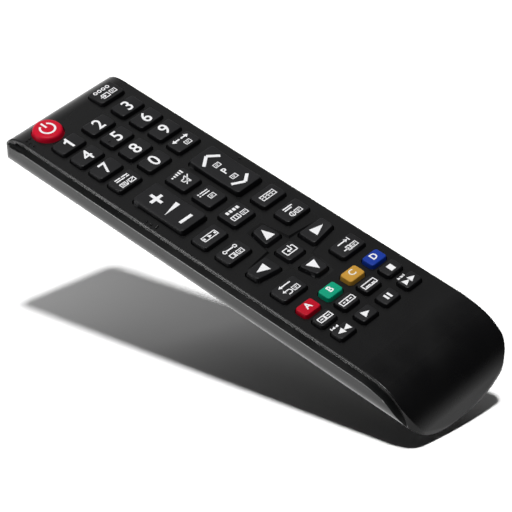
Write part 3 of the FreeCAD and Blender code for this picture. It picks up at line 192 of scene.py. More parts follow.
# Bare steel, the mottle's usual span, the band on the cells, and the tracks on the board:
# how close they lie, how uneven they are and how wide
BARE_STEEL = (0.62, 0.61, 0.58)
MOTTLE_SPAN = (0.3, 0.7)
CELL_BAND_PLACE = -9.5 * MM
TRACK_SCALE = 0.35 / MM
TRACK_UNEVENNESS = 0.85
TRACK_WIDTH = 0.06

# Slots of the coloured keys, and the keys that aren't plain blocks
KEY_SLOTS = {"key_power": "key_power_red", "key_red": "key_red", "key_green": "key_green",
             "key_yellow": "key_amber", "key_blue": "key_blue"}
ROCKERS = ("key_volume", "key_channel")
ARMS = {"key_right": 0, "key_up": 90, "key_left": 180, "key_down": 270}


def slot_of(name):
    # The slot of a key and of the marks on it.
    return KEY_SLOTS.get(name, "key_rubber")


# Strokes that make up the marks, in millimetres from the middle of a key

def bar(x_start, y_start, x_end, y_end, width=LINE):
    # A straight stroke with square ends.
    start, end = Vector((x_start, y_start)), Vector((x_end, y_end))
    along = (end - start).normalized() * width * STROKE_WEIGHT / 2
    side = Vector((-along.y, along.x))
    return [("plate", [tuple(p) for p in (start - side, end - side, end + side, start + side)])]


def plate(*corners):
    # A filled shape with those corners.
    return [("plate", list(corners))]


def ring(x, y, radius, width=LINE, start=0, sweep=360):
    # A ring, or the part of one that starts at an angle and goes on by sweep.
    return [("ring", x, y, radius, width, start, sweep)]


def disc(x, y, radius):
    return [("disc", x, y, radius)]


def outline(x, y, width, depth, line=LINE):
    # A rectangle drawn with lines, centred on (x, y).
    half, tall = width / 2, depth / 2
    low, high = y - tall + line / 2, y + tall - line / 2
    left, right = x - half + line / 2, x + half - line / 2
    return (bar(x - half, low, x + half, low, line) + bar(x - half, high, x + half, high, line)
            + bar(left, y - tall + line, left, y + tall - line, line)
            + bar(right, y - tall + line, right, y + tall - line, line))


def polyline(points, width=LINE):
    strokes = []
    for first, second in zip(points, points[1:]):
        strokes += bar(*first, *second, width)
    return strokes


def moved(x, y, strokes):
    result = []
    for stroke in strokes:
        if stroke[0] == "plate":
            result.append(("plate", [(px + x, py + y) for px, py in stroke[1]]))
        else:
            result.append((stroke[0], stroke[1] + x, stroke[2] + y) + stroke[3:])
    return result


def pointer(x, y, reach, half):
    # A filled triangle whose tip is at (x + reach, y).
    return plate((x, y - half), (x + reach, y), (x, y + half))


def screen_box(x, y):
    # The small outlined box that stands beside most pictures, with two short lines in it.
    return (outline(x, y, 2.7, 1.9, 0.26) + bar(x - 0.7, y + 0.2, x + 0.7, y + 0.2, 0.2)
            + bar(x - 0.7, y - 0.3, x + 0.2, y - 0.3, 0.2))


def level_bars(x, y):
    # Five bars that rise to the right.
    strokes = []
    for index in range(5):
        left = x - 2.2 + 1.1 * index
        strokes += bar(left, y - 0.9, left, y - 0.2 + 0.25 * index, 0.5)
    return strokes


def tiles(x, y, count, pitch, size):
    # A row of filled squares, centred on (x, y).
    strokes = []
    for index in range(count):
        left = x + (index - (count - 1) / 2) * pitch
        strokes += bar(left - size / 2, y, left + size / 2, y, size)
    return strokes


def ring_row(x, y, count, pitch, radius):
    # A row of rings, centred on (x, y).
    strokes = []
    for index in range(count):
        strokes += ring(x + (index - (count - 1) / 2) * pitch, y, radius)
    return strokes


def speaker(x, y):
    # A loudspeaker in outline with a stroke through it.
    shape = polyline([(-1.7, -0.6), (-1.7, 0.6), (-0.7, 0.6), (0.6, 1.7), (0.6, -1.7), (-0.7, -0.6),
                      (-1.7, -0.6)], 0.34)
    return moved(x, y, shape + bar(-1.5, -1.9, 2.0, 1.6, 0.34))


def book(x, y):
    # Two pages side by side, each with a line on it.
    return (outline(x - 1.4, y, 2.7, 2.2, 0.32) + outline(x + 1.4, y, 2.7, 2.2, 0.32)
            + bar(x - 2.0, y, x - 0.8, y, 0.34) + bar(x + 0.8, y, x + 2.0, y, 0.34))


def back_arrow(x, y):
    # An arrow that turns round and points back to the left.
    return (ring(x + 0.5, y, 0.85, LINE, -90, 180) + bar(x - 0.9, y + 0.85, x + 0.5, y + 0.85)
            + bar(x - 0.6, y - 0.85, x + 0.5, y - 0.85) + pointer(x - 0.8, y + 0.85, -0.9, 0.75))


def door(x, y):
    # An arrow that goes into a doorway.
    return (outline(x + 0.5, y, 1.7, 2.1, 0.3) + bar(x - 1.7, y - 0.1, x, y - 0.1, 0.4)
            + pointer(x - 0.2, y - 0.1, 0.9, 0.75))


# Marks on the keys, from the middle of the key, or of the cross for its four arrow keys
MARKS = {
    "key_power": ring(0, 0, 2.55, 0.62, 122, 296) + bar(0, 0.5, 0, 3.3, 0.62),
    "key_1": (plate((-0.15, -2.3), (0.8, -2.3), (0.8, 2.6), (0.1, 2.6), (-0.15, 1.9))
              + plate((-0.15, 1.9), (-1.3, 1.35), (-1.3, 0.5), (-0.15, 0.9))),
    "key_source": (outline(-1.3, -1.1, 3.1, 2.2, 0.3) + bar(-3.5, -1.1, -1.7, -1.1, 0.34)
                   + pointer(-2.0, -1.1, 1.0, 0.75) + screen_box(2.2, -0.9)
                   + ring_row(-0.5, 2.0, 4, 1.8, 0.6)),
    "key_text": (outline(-1.8, -1.4, 2.6, 1.9, 0.28) + bar(-2.5, -1.1, -1.1, -1.1, 0.22)
                 + bar(-2.5, -1.6, -1.1, -1.6, 0.22) + bar(-0.35, -2.3, 0.3, -0.5, 0.26)
                 + outline(1.9, -1.4, 2.6, 1.9, 0.28) + bar(1.0, -2.0, 2.8, -0.8, 0.24)
                 + bar(-2.8, 1.8, -0.4, 1.8, WORD_LINE) + bar(0.1, 1.8, 2.8, 1.8, WORD_LINE)
                 + bar(-2.8, 0.9, 1.0, 0.9, WORD_LINE) + bar(1.5, 0.9, 2.8, 0.9, WORD_LINE)),
    "key_previous": (pointer(-2.2, 1.6, -1.4, 0.95) + bar(-2.2, 1.6, -0.3, 1.6, 0.5)
                     + pointer(2.2, 1.6, 1.4, 0.95) + bar(0.3, 1.6, 2.2, 1.6, 0.5)
                     + screen_box(0.9, -1.2)),
    "key_mute": speaker(0.7, -0.7) + level_bars(-0.1, 3.2),
    "key_list": (disc(-2.3, 2.8, 0.32) + bar(-1.6, 2.8, 1.9, 2.8, 0.36) + disc(-2.3, 1.8, 0.32)
                 + bar(-1.6, 1.8, 1.9, 1.8, 0.36) + screen_box(0.8, -0.4)),
    "key_menu": (tiles(0.1, 2.0, 4, 1.5, 1.05) + outline(-1.4, -1.1, 3.5, 2.1, 0.32)
                 + bar(-2.0, -1.9, -2.0, -0.3, 0.3) + bar(-0.8, -1.9, -0.8, -0.3, 0.3)
                 + screen_box(2.3, -1.2)),
    "key_guide": (outline(-0.1, 0, 6.2, 2.4, 0.3) + bar(-3.1, 0.1, 2.9, 0.1, 0.26)
                  + bar(-1.6, -1.0, -1.6, 1.0, 0.26) + bar(-0.1, -1.0, -0.1, 1.0, 0.26)
                  + bar(1.4, -1.0, 1.4, 1.0, 0.26)),
    "key_info": (ring(-1.2, -1.4, 0.95, 0.3) + bar(-1.2, -2.0, -1.2, -1.3, 0.34)
                 + disc(-1.2, -0.85, 0.22) + screen_box(1.5, -1.4) + bar(-2.2, 2.0, 2.0, 2.0, WORD_LINE)
                 + bar(-2.2, 1.1, 1.0, 1.1, WORD_LINE)),
    "key_media": (outline(0, 0, 6.2, 2.3, 0.3) + pointer(-0.6, 0, 1.5, 0.7)
                  + tiles(-2.3, 0, 1, 1, 0.7) + tiles(2.3, 0, 1, 1, 0.7)),
    "key_tools": (ring(-2.2, 1.6, 0.6) + bar(-1.6, 1.6, 1.6, 1.6, 0.46) + ring(2.2, 1.6, 0.6)
                  + outline(-1.3, -1.2, 2.5, 1.9, 0.32) + pointer(-1.0, -1.3, 1.1, 0.6)
                  + screen_box(1.7, -1.2)),
    "key_return": (pointer(-1.5, 1.9, -1.2, 0.75) + bar(-1.5, 1.9, 2.4, 1.9, WORD_LINE)
                   + back_arrow(-1.3, -1.1) + screen_box(1.9, -1.1)),
    "key_exit": (bar(-2.4, 1.9, 1.0, 1.9, WORD_LINE) + pointer(0.8, 1.9, 1.2, 0.75)
                 + bar(2.4, 1.1, 2.4, 2.7, 0.36) + door(-1.0, -1.1) + screen_box(1.9, -1.1)),
    "key_enter": (polyline([(1.5, 1.4), (2.3, 1.4), (2.3, -1.1), (-2.2, -1.1), (-2.2, 1.4),
                            (0.1, 1.4)], 0.34)
                  + bar(0.9, 0.1, 0.9, 2.2, 0.36) + pointer(-0.2, 0.1, -1.0, 0.75)
                  + bar(-0.3, 0.1, 1.05, 0.1, 0.36)),
    "key_up": plate((-1.9, 8.3), (2.0, 8.3), (0.05, 12.6)),
    "key_down": plate((-1.9, -8.3), (0.05, -12.6), (2.0, -8.3)),
    "key_right": plate((10.7, -1.8), (15.4, 0), (10.7, 1.8)),
    "key_left": plate((-10.7, -1.8), (-10.7, 1.8), (-15.4, 0)),
    "key_manual": book(0.1, -0.1),
    "key_picture_size": (outline(0.1, -0.1, 5.8, 2.2, 0.32) + tiles(0.1, -0.1, 1, 1, 0.75)
                         + bar(-1.9, -0.1, -0.8, -0.1, 0.34) + bar(1.0, -0.1, 2.1, -0.1, 0.34)),
    "key_subtitle": (outline(0.1, -0.1, 5.8, 2.2, 0.32) + bar(-1.9, -0.5, 0.2, -0.5, 0.36)
                     + bar(0.7, -0.5, 2.1, -0.5, 0.36)),
    "key_stop": tiles(0.1, -0.1, 1, 1, 2.1),
    "key_rewind": pointer(0.1, 0, -2.5, 1.2) + pointer(2.6, 0, -2.5, 1.2),
    "key_play": pointer(-1.4, 0, 2.9, 1.35),
    "key_pause": bar(-0.75, -1.1, -0.75, 1.1, 0.7) + bar(0.75, -1.1, 0.75, 1.1, 0.7),
    "key_forward": pointer(-0.1, 0, 2.5, 1.2) + pointer(-2.6, 0, 2.5, 1.2),
    "key_volume": (bar(-2.8, 5.8, 2.4, 5.8, 1.0) + bar(-0.2, 3.2, -0.2, 5.3, 1.0)
                   + bar(-0.2, 6.3, -0.2, 8.4, 1.0) + plate((-3.8, -1.5), (3.3, -1.5), (3.3, 0.4))
                   + bar(-3.1, -7.7, 2.3, -7.7, 1.0)),
    "key_channel": (polyline([(-4.0, 5.8), (0.15, 8.8), (3.7, 5.8)], 0.95)
                    + polyline([(-4.0, -6.6), (0.1, -9.0), (3.4, -6.6)], 0.95)
                    + screen_box(-0.3, 3.4) + screen_box(-0.4, -4.4)),
}

# Marks on the face beside two keys: place and strokes
FACE_MARKS = {
    "skip_forward": (15.3, -51.1, pointer(-1.5, 0, 1.3, 0.65) + pointer(-0.1, 0, 1.3, 0.65)
                     + bar(1.4, -0.65, 1.4, 0.65, 0.3)),
    "skip_back": (-15.5, -51.1, pointer(1.5, 0, -1.3, 0.65) + pointer(0.1, 0, -1.3, 0.65)
                  + bar(-1.4, -0.65, -1.4, 0.65, 0.3)),
}

# Characters on the keys: text, height and place from the middle of the key
CHARACTERS = {"key_" + key: (letter, LETTER_HEIGHT, 0.1, 0.4)
              for key, letter in (("red", "A"), ("green", "B"), ("yellow", "C"), ("blue", "D"))}
CHARACTERS["key_channel"] = ("P", PROGRAM_LETTER_HEIGHT, -0.6, -0.4)
CHARACTERS |= {"key_" + digit: (digit, DIGIT_HEIGHT, 0, 0.15) for digit in "023456789"}


# Shader building

def new_material(name):
    material = bpy.data.materials.new(name + "_finish")
    material.use_nodes = True
    tree = material.node_tree
    shader = tree.nodes["Principled BSDF"]
    return material, tree, shader


def effect_group(name, inputs, outputs):
    # An empty node group with (name, default) number inputs and (name, kind) outputs.
    group = bpy.data.node_groups.new(name, "ShaderNodeTree")
    for label, value in inputs:
        socket = group.interface.new_socket(label, in_out="INPUT", socket_type="NodeSocketFloat")
        socket.default_value = value
    for label, kind in outputs:
        group.interface.new_socket(label, in_out="OUTPUT", socket_type=kind)
    return group, group.nodes.new("NodeGroupInput"), group.nodes.new("NodeGroupOutput")


def math_node(tree, operation, first, second=0.0):
    # A sum on two values, each a number or another node's output.
    node = tree.nodes.new("ShaderNodeMath")
    node.operation = operation
    for index, value in enumerate((first, second)):
        if isinstance(value, (int, float)):
            node.inputs[index].default_value = value
        else:
            tree.links.new(value, node.inputs[index])
    return node.outputs[0]


def grain_group():
    # Fine pits of a moulding tool: a normal, and a slow mottle from 0 to 1.
    group, given, result = effect_group(
        "moulded_grain", [("Grain", 0.3), ("Depth", 0.01), ("Mottle Size", 12.0)],
        [("Normal", "NodeSocketVector"), ("Mottle", "NodeSocketFloat")])
    place = group.nodes.new("ShaderNodeTexCoord")
    pits = group.nodes.new("ShaderNodeTexNoise")
    pits.inputs["Detail"].default_value = 2.0
    group.links.new(place.outputs["Object"], pits.inputs["Vector"])
    group.links.new(math_node(group, "DIVIDE", 1 / MM, given.outputs["Grain"]), pits.inputs["Scale"])
    bump = group.nodes.new("ShaderNodeBump")
    bump.inputs["Strength"].default_value = 1.0
    group.links.new(math_node(group, "MULTIPLY", given.outputs["Depth"], MM), bump.inputs["Distance"])
    group.links.new(pits.outputs["Fac"], bump.inputs["Height"])
    cloud = group.nodes.new("ShaderNodeTexNoise")
    cloud.inputs["Detail"].default_value = 3.0
    group.links.new(place.outputs["Object"], cloud.inputs["Vector"])
    group.links.new(math_node(group, "DIVIDE", 1 / MM, given.outputs["Mottle Size"]),
                    cloud.inputs["Scale"])
    group.links.new(bump.outputs["Normal"], result.inputs["Normal"])
    group.links.new(cloud.outputs["Fac"], result.inputs["Mottle"])
    return group


GRAIN = grain_group()


def add_grain(tree, shader, grain, depth, mottle_size=12.0):
    node = tree.nodes.new("ShaderNodeGroup")
    node.node_tree = GRAIN
    node.inputs["Grain"].default_value = grain
    node.inputs["Depth"].default_value = depth
    node.inputs["Mottle Size"].default_value = mottle_size
    tree.links.new(node.outputs["Normal"], shader.inputs["Normal"])
    return node.outputs["Mottle"]


def map_range(tree, value, low, high, start, end):
    node = tree.nodes.new("ShaderNodeMapRange")
    node.inputs["From Min"].default_value = low
    node.inputs["From Max"].default_value = high
    node.inputs["To Min"].default_value = start
    node.inputs["To Max"].default_value = end
    tree.links.new(value, node.inputs["Value"])
    return node.outputs["Result"]


def spread(tree, mask, low, high):
    # Maps the mottle's usual span onto a range of values.
    return map_range(tree, mask, *MOTTLE_SPAN, low, high)


def blend_colours(tree, mask, first, second):
    # A colour between two, each an (r, g, b) value or another node's output.
    node = tree.nodes.new("ShaderNodeMix")
    node.data_type = "RGBA"
    tree.links.new(mask, node.inputs["Factor"])
    for socket, colour in (("A", first), ("B", second)):
        if isinstance(colour, tuple):
            node.inputs[socket].default_value = (*colour, 1)
        else:
            tree.links.new(colour, node.inputs[socket])
    return node.outputs["Result"]


def moulded(name, dark, light, rough, grain, depth, specular):
    # A moulded plastic or rubber: two close shades, a range of roughness and a fine grain.
    material, tree, shader = new_material(name)
    mottle = add_grain(tree, shader, grain, depth)
    tree.links.new(blend_colours(tree, mottle, dark, light), shader.inputs["Base Color"])
    tree.links.new(spread(tree, mottle, *rough), shader.inputs["Roughness"])
    shader.inputs["Specular IOR Level"].default_value = specular
    return material


def metal(name, colour, rough):
    # Bare metal: a colour that darkens a little in places, and a very fine grain.
    material, tree, shader = new_material(name)
    mottle = add_grain(tree, shader, 0.15, 0.004, 3.0)
    tree.links.new(blend_colours(tree, mottle, colour, tuple(0.9 * c for c in colour)),
                   shader.inputs["Base Color"])
    tree.links.new(spread(tree, mottle, *rough), shader.inputs["Roughness"])
    shader.inputs["Metallic"].default_value = 1.0
    return material


def face_mask(tree, axis, least):
    # 1 where the surface faces along an axis of the object, either way, and 0 elsewhere.
    geometry = tree.nodes.new("ShaderNodeNewGeometry")
    split = tree.nodes.new("ShaderNodeSeparateXYZ")
    tree.links.new(geometry.outputs["True Normal"], split.inputs[0])
    size = math_node(tree, "ABSOLUTE", split.outputs[axis])
    return math_node(tree, "GREATER_THAN", size, least)


def board_laminate():
    # Green solder resist over fine copper tracks, with the bare brown edge of the sheet.
    material, tree, shader = new_material("board_laminate")
    mottle = add_grain(tree, shader, 0.4, 0.008)
    place = tree.nodes.new("ShaderNodeTexCoord")
    tracks = tree.nodes.new("ShaderNodeTexVoronoi")
    tracks.distance = "MANHATTAN"
    tracks.feature = "DISTANCE_TO_EDGE"
    tracks.inputs["Scale"].default_value = TRACK_SCALE
    tracks.inputs["Randomness"].default_value = TRACK_UNEVENNESS
    tree.links.new(place.outputs["Object"], tracks.inputs["Vector"])
    copper = math_node(tree, "LESS_THAN", tracks.outputs["Distance"], TRACK_WIDTH)
    resist = blend_colours(tree, mottle, (0.012, 0.085, 0.03), (0.018, 0.11, 0.04))
    top = blend_colours(tree, copper, resist, (0.03, 0.17, 0.06))
    whole = blend_colours(tree, face_mask(tree, "Z", 0.5), (0.27, 0.19, 0.07), top)
    tree.links.new(whole, shader.inputs["Base Color"])
    tree.links.new(spread(tree, mottle, 0.25, 0.4), shader.inputs["Roughness"])
    return material


def cell_jacket():
    # A printed sleeve with a plain coloured band, and bare steel on both end faces.
    low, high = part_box("cell_left")
    middle = (low.y + high.y) / 2
    material, tree, shader = new_material("cell_jacket")
    mottle = add_grain(tree, shader, 0.5, 0.003)
    place = tree.nodes.new("ShaderNodeTexCoord")
    split = tree.nodes.new("ShaderNodeSeparateXYZ")
    tree.links.new(place.outputs["Object"], split.inputs[0])
    side = math_node(tree, "SIGN", split.outputs["X"])
    from_middle = math_node(tree, "SUBTRACT", split.outputs["Y"], middle)
    along = math_node(tree, "MULTIPLY", from_middle, side)
    band = math_node(tree, "LESS_THAN", along, CELL_BAND_PLACE)
    sleeve = blend_colours(tree, mottle, (0.10, 0.105, 0.11), (0.13, 0.135, 0.14))
    paint = blend_colours(tree, band, sleeve, (0.02, 0.16, 0.13))
    ends = face_mask(tree, "Y", 0.7)
    tree.links.new(blend_colours(tree, ends, paint, BARE_STEEL), shader.inputs["Base Color"])
    tree.links.new(ends, shader.inputs["Metallic"])
    tree.links.new(spread(tree, mottle, 0.28, 0.36), shader.inputs["Roughness"])
    return material


def window_plastic():
    # Deep violet plastic that looks black and lets infrared through.
    material, tree, shader = new_material("window_plastic")
    mottle = add_grain(tree, shader, 2.0, 0.002)
    tree.links.new(blend_colours(tree, mottle, (0.012, 0.002, 0.010), (0.018, 0.003, 0.016)),
                   shader.inputs["Base Color"])
    tree.links.new(spread(tree, mottle, 0.05, 0.09), shader.inputs["Roughness"])
    shader.inputs["Coat Weight"].default_value = 0.6
    shader.inputs["Coat Roughness"].default_value = 0.04
    return material


def make_finishes():
    finishes = {name: moulded(name, *values) for name, values in MOULDED.items()}
    finishes["board_laminate"] = board_laminate()
    finishes["window_plastic"] = window_plastic()
    finishes["cell_jacket"] = cell_jacket()
    finishes["contact_steel"] = metal("contact_steel", BARE_STEEL, (0.22, 0.34))
    return finishes


def finish_nodes(finishes):
    # Every node takes the finish that its material slot names.
    for node in nodes.values():
        for index, material in enumerate(node.data.materials):
            node.data.materials[index] = finishes[material.name]


# Mesh helpers

def box_of(name):
    low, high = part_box(name)
    return low / MM, high / MM


def middle_of(name):
    low, high = box_of(name)
    return (low + high) / 2


def add_piece(name, bm, body, material, angle=KEY_SHARP_ANGLE):
    # Puts a bmesh in millimetres into the scene as a finished piece that rides on a body.
    bmesh.ops.scale(bm, vec=(MM, MM, MM), verts=bm.verts)
    bmesh.ops.recalc_face_normals(bm, faces=bm.faces)
    mesh = bpy.data.meshes.new(name)
    bm.to_mesh(mesh)
    bm.free()
    mesh.materials.append(material)
    for polygon in mesh.polygons:
        polygon.use_smooth = True
    mesh.set_sharp_from_angle(angle=math.radians(angle))
    piece = bpy.data.objects.new(name, mesh)
    scene.collection.objects.link(piece)
    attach(piece, body)
    return piece


def extent(verts):
    # The lowest and the highest corner of the box round some points.
    low = Vector([min(v.co[axis] for v in verts) for axis in range(3)])
    high = Vector([max(v.co[axis] for v in verts) for axis in range(3)])
    return low, high


def points_of(made):
    # The points among what an extrusion has made.
    return [item for item in made if isinstance(item, bmesh.types.BMVert)]


def shrink(bm, verts, inset):
    # Moves an outline in by inset on every side, or out where inset is negative.
    low, high = extent(verts)
    middle, half = (low + high) / 2, (high - low) / 2
    factor = ((half.x - inset) / half.x, (half.y - inset) / half.y, 1)
    bmesh.ops.scale(bm, vec=factor, verts=verts, space=Matrix.Translation(-middle))


def stack(bm, corners, corner_radius, levels):
    # A closed block whose outline is moved in by inset at each (inset, height) level.
    earlier = set(bm.faces)
    inset, height = levels[0]
    verts = [bm.verts.new((x, y, height)) for x, y in corners]
    bm.faces.new(verts)
    bmesh.ops.bevel(bm, geom=verts, offset=corner_radius, offset_type="OFFSET", affect="VERTICES",
                    segments=CORNER_STEPS, profile=0.5, material=-1)
    face = [item for item in bm.faces if item not in earlier][0]
    shrink(bm, list(face.verts), inset)
    for next_inset, next_height in levels[1:]:
        made = bmesh.ops.extrude_face_region(bm, geom=[face])["geom"]
        verts = points_of(made)
        face = [item for item in made if isinstance(item, bmesh.types.BMFace)][0]
        shrink(bm, verts, next_inset - inset)
        bmesh.ops.translate(bm, vec=(0, 0, next_height - height), verts=verts)
        inset, height = next_inset, next_height
    return face


def round_rim(bm, edges, radius):
    bmesh.ops.bevel(bm, geom=edges, offset=radius, offset_type="OFFSET", affect="EDGES",
                    segments=ROUND_STEPS, profile=0.5, material=-1, clamp_overlap=True)


def cut_grid(bm, step):
    # Cuts the mesh by upright planes, so that a flat top can be bent.
    low, high = extent(bm.verts)
    for axis, normal in enumerate((Vector((1, 0, 0)), Vector((0, 1, 0)))):
        count = int((high[axis] - low[axis]) / step)
        for index in range(1, count):
            place = low + normal * ((high[axis] - low[axis]) * index / count)
            geom = bm.verts[:] + bm.edges[:] + bm.faces[:]
            bmesh.ops.bisect_plane(bm, geom=geom, plane_co=place, plane_no=normal)


def bend_top(bm, base, flat_top, surface):
    # Lowers what stands above base, so that the flat top follows surface(x, y).
    for vert in bm.verts:
        if vert.co.z > base:
            share = (vert.co.z - base) / (flat_top - base)
            vert.co.z = base + share * (surface(vert.co.x, vert.co.y) - base)


# Tops of the keys

def top_of(name):
    # The height of a key's top at a point: a shared dish, a saddle, or flat.
    low, high = box_of(name)
    middle = (low + high) / 2
    if name in ARMS or name == "key_enter":
        centre = middle_of("key_enter")
        return lambda x, y: DISH_LOWEST + DISH_RADIUS - math.sqrt(
            DISH_RADIUS ** 2 - (x - centre.x) ** 2 - (y - centre.y) ** 2)
    if name in ROCKERS:
        half = (high.y - low.y) / 2
        radius = (half ** 2 + SADDLE_DEPTH ** 2) / (2 * SADDLE_DEPTH)
        lowest = high.z - SADDLE_DEPTH
        return lambda x, y: lowest + radius - math.sqrt(radius ** 2 - (y - middle.y) ** 2)
    if name == "key_power":
        return lambda x, y: high.z - POWER_DROP
    return lambda x, y: high.z


def box_corners(low, high, inset_x, inset_y):
    # The corners of a box's outline, moved in by the insets.
    left, right = low.x + inset_x, high.x - inset_x
    near, far = low.y + inset_y, high.y - inset_y
    return [(left, near), (right, near), (right, far), (left, far)]


def arm_corners(name):
    # The outline of a navigation key, which narrows outwards from the middle of the cross.
    low, high = box_of(name)
    centre = middle_of("key_enter")
    axis = 1 if ARMS[name] in (90, 270) else 0
    near, far = sorted(abs(end[axis] - centre[axis]) for end in (low, high))
    near, far = near + FLANGE_WIDTH, far - FLANGE_WIDTH
    turn = Matrix.Rotation(math.radians(ARMS[name]), 2)
    corners = [(near, -ARM_INNER_HALF), (far, -ARM_OUTER_HALF),
               (far, ARM_OUTER_HALF), (near, ARM_INNER_HALF)]
    return [tuple(turn @ Vector(corner) + centre.to_2d()) for corner in corners]


def key_levels(low, top, draft):
    # The plunger, the flange under the cover and the block above it.
    return [(PLUNGER_INSET, low.z), (PLUNGER_INSET, FLANGE_UNDER), (-FLANGE_WIDTH, FLANGE_UNDER),
            (-FLANGE_WIDTH, FLANGE_TOP), (0, FLANGE_TOP), (draft, top)]


def plain_cap(name):
    # A key with a flat top and a rounded rim.
    low, high = box_of(name)
    bm = bmesh.new()
    face = stack(bm, box_corners(low, high, FLANGE_WIDTH, FLANGE_WIDTH), KEY_CORNER,
                 key_levels(low, high.z, KEY_DRAFT))
    round_rim(bm, face.edges[:], KEY_ROUND)
    return bm


def dished_cap(name):
    # A key of the navigation cross, whose top follows the dish that they share.
    low, high = box_of(name)
    bm = bmesh.new()
    if name in ARMS:
        corners, draft = arm_corners(name), ARM_TAPER
    else:
        corners, draft = box_corners(low, high, FLANGE_WIDTH, FLANGE_WIDTH), ENTER_DRAFT
    face = stack(bm, corners, KEY_CORNER, key_levels(low, ARM_TOP, draft))
    round_rim(bm, face.edges[:], KEY_ROUND)
    cut_grid(bm, SADDLE_STEP)
    bend_top(bm, FLANGE_TOP, ARM_TOP, top_of(name))
    return bm


def saddle_cap(name):
    # A rocker: its plunger ends as high as a plain key's, and it has a flange and a rib.
    low, high = box_of(name)
    bm = bmesh.new()
    under = box_of("key_5")[0].z
    levels = [(PLUNGER_INSET, under), (PLUNGER_INSET, FLANGE_UNDER),
              (0, FLANGE_UNDER), (KEY_DRAFT, high.z)]
    face = stack(bm, box_corners(low, high, FLANGE_WIDTH, 0), KEY_CORNER, levels)
    round_rim(bm, face.edges[:], KEY_ROUND)
    cut_grid(bm, SADDLE_STEP)
    bend_top(bm, FLANGE_TOP, high.z, top_of(name))
    # The short flange at its middle, and the round rib that it tilts on
    middle = (low + high) / 2
    ends = (high.y - low.y - ROCKER_FLANGE_DEPTH) / 2
    stack(bm, box_corners(low, high, 0, ends), ROCKER_FLANGE_CORNER,
          [(0, FLANGE_UNDER - ROCKER_FLANGE_DROP), (0, FLANGE_TOP - ROCKER_FLANGE_DROP)])
    place = Matrix.Translation((middle.x, middle.y, low.z + PIVOT_RADIUS))
    bmesh.ops.create_cone(bm, cap_ends=True, segments=PIVOT_STEPS, radius1=PIVOT_RADIUS,
                          radius2=PIVOT_RADIUS, depth=(high.x - low.x) / 2,
                          matrix=place @ Matrix.Rotation(math.pi / 2, 4, "Y"))
    return bm


def power_cap(name):
    # A round key: its outline is turned about its own axis.
    low, high = box_of(name)
    centre = middle_of(name)
    radius = (high.x - low.x) / 2 - FLANGE_WIDTH
    top_radius = radius - POWER_DRAFT
    high.z -= POWER_DROP
    plunger, flange = radius - PLUNGER_INSET, radius + FLANGE_WIDTH
    profile = [(0, low.z), (plunger, low.z), (plunger, FLANGE_UNDER), (flange, FLANGE_UNDER),
               (flange, FLANGE_TOP), (radius + POWER_FLARE, FLANGE_TOP), (top_radius, high.z),
               (0, high.z)]
    bm = bmesh.new()
    verts = [bm.verts.new((centre.x + reach, centre.y, height)) for reach, height in profile]
    edges = [bm.edges.new(pair) for pair in zip(verts, verts[1:])]
    bmesh.ops.spin(bm, geom=verts + edges, cent=(centre.x, centre.y, 0), axis=(0, 0, 1),
                   angle=2 * math.pi, steps=POWER_STEPS, use_merge=True)
    bmesh.ops.remove_doubles(bm, verts=bm.verts, dist=NEAR)
    rim = [edge for edge in bm.edges
           if all(v.co.z > high.z - NEAR and (v.co - centre).to_2d().length > top_radius - NEAR_ARC
                  for v in edge.verts)]
    round_rim(bm, rim, POWER_ROUND)
    return bm


def make_caps(finishes):
    for name in sorted(nodes):
        if not name.startswith("key_"):
            continue
        if name == "key_power":
            bm = power_cap(name)
        elif name in ROCKERS:
            bm = saddle_cap(name)
        elif name in ARMS or name == "key_enter":
            bm = dished_cap(name)
        else:
            bm = plain_cap(name)
        slot = slot_of(name)
        cap = add_piece(name.replace("key_", "cap_"), bm, name, finishes[slot])
        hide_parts(name)


# Marks

def draw(bm, strokes):
    # Each stroke becomes flat faces at height 0.
    for kind, *values in strokes:
        if kind == "plate":
            bm.faces.new([bm.verts.new((x, y, 0)) for x, y in values[0]])
        elif kind == "disc":
            x, y, radius = values
            bmesh.ops.create_circle(bm, cap_ends=True, segments=DISC_STEPS, radius=radius,
                                    matrix=Matrix.Translation((x, y, 0)))
        else:
            x, y, radius, width, start, sweep = values
            way = Vector((math.cos(math.radians(start)), math.sin(math.radians(start)), 0))
            centre = Vector((x, y, 0))
            half = width * STROKE_WEIGHT / 2
            ends = [bm.verts.new(centre + way * reach) for reach in (radius - half, radius + half)]
            bmesh.ops.spin(bm, geom=ends + [bm.edges.new(ends)], cent=centre, axis=(0, 0, 1),
                           angle=math.radians(sweep),
                           steps=max(RING_LEAST_STEPS, int(sweep / RING_STEP_ANGLE)),
                           use_merge=sweep == 360)


def thicken(bm):
    made = bmesh.ops.extrude_face_region(bm, geom=bm.faces[:])["geom"]
    bmesh.ops.translate(bm, vec=(0, 0, INK_THICKNESS), verts=points_of(made))


def lay(bm, x, y, surface):
    # Moves a mark onto a surface and lets it follow that surface's height.
    for vert in bm.verts:
        vert.co.x += x
        vert.co.y += y
        vert.co.z += surface(vert.co.x, vert.co.y) - INK_SINK


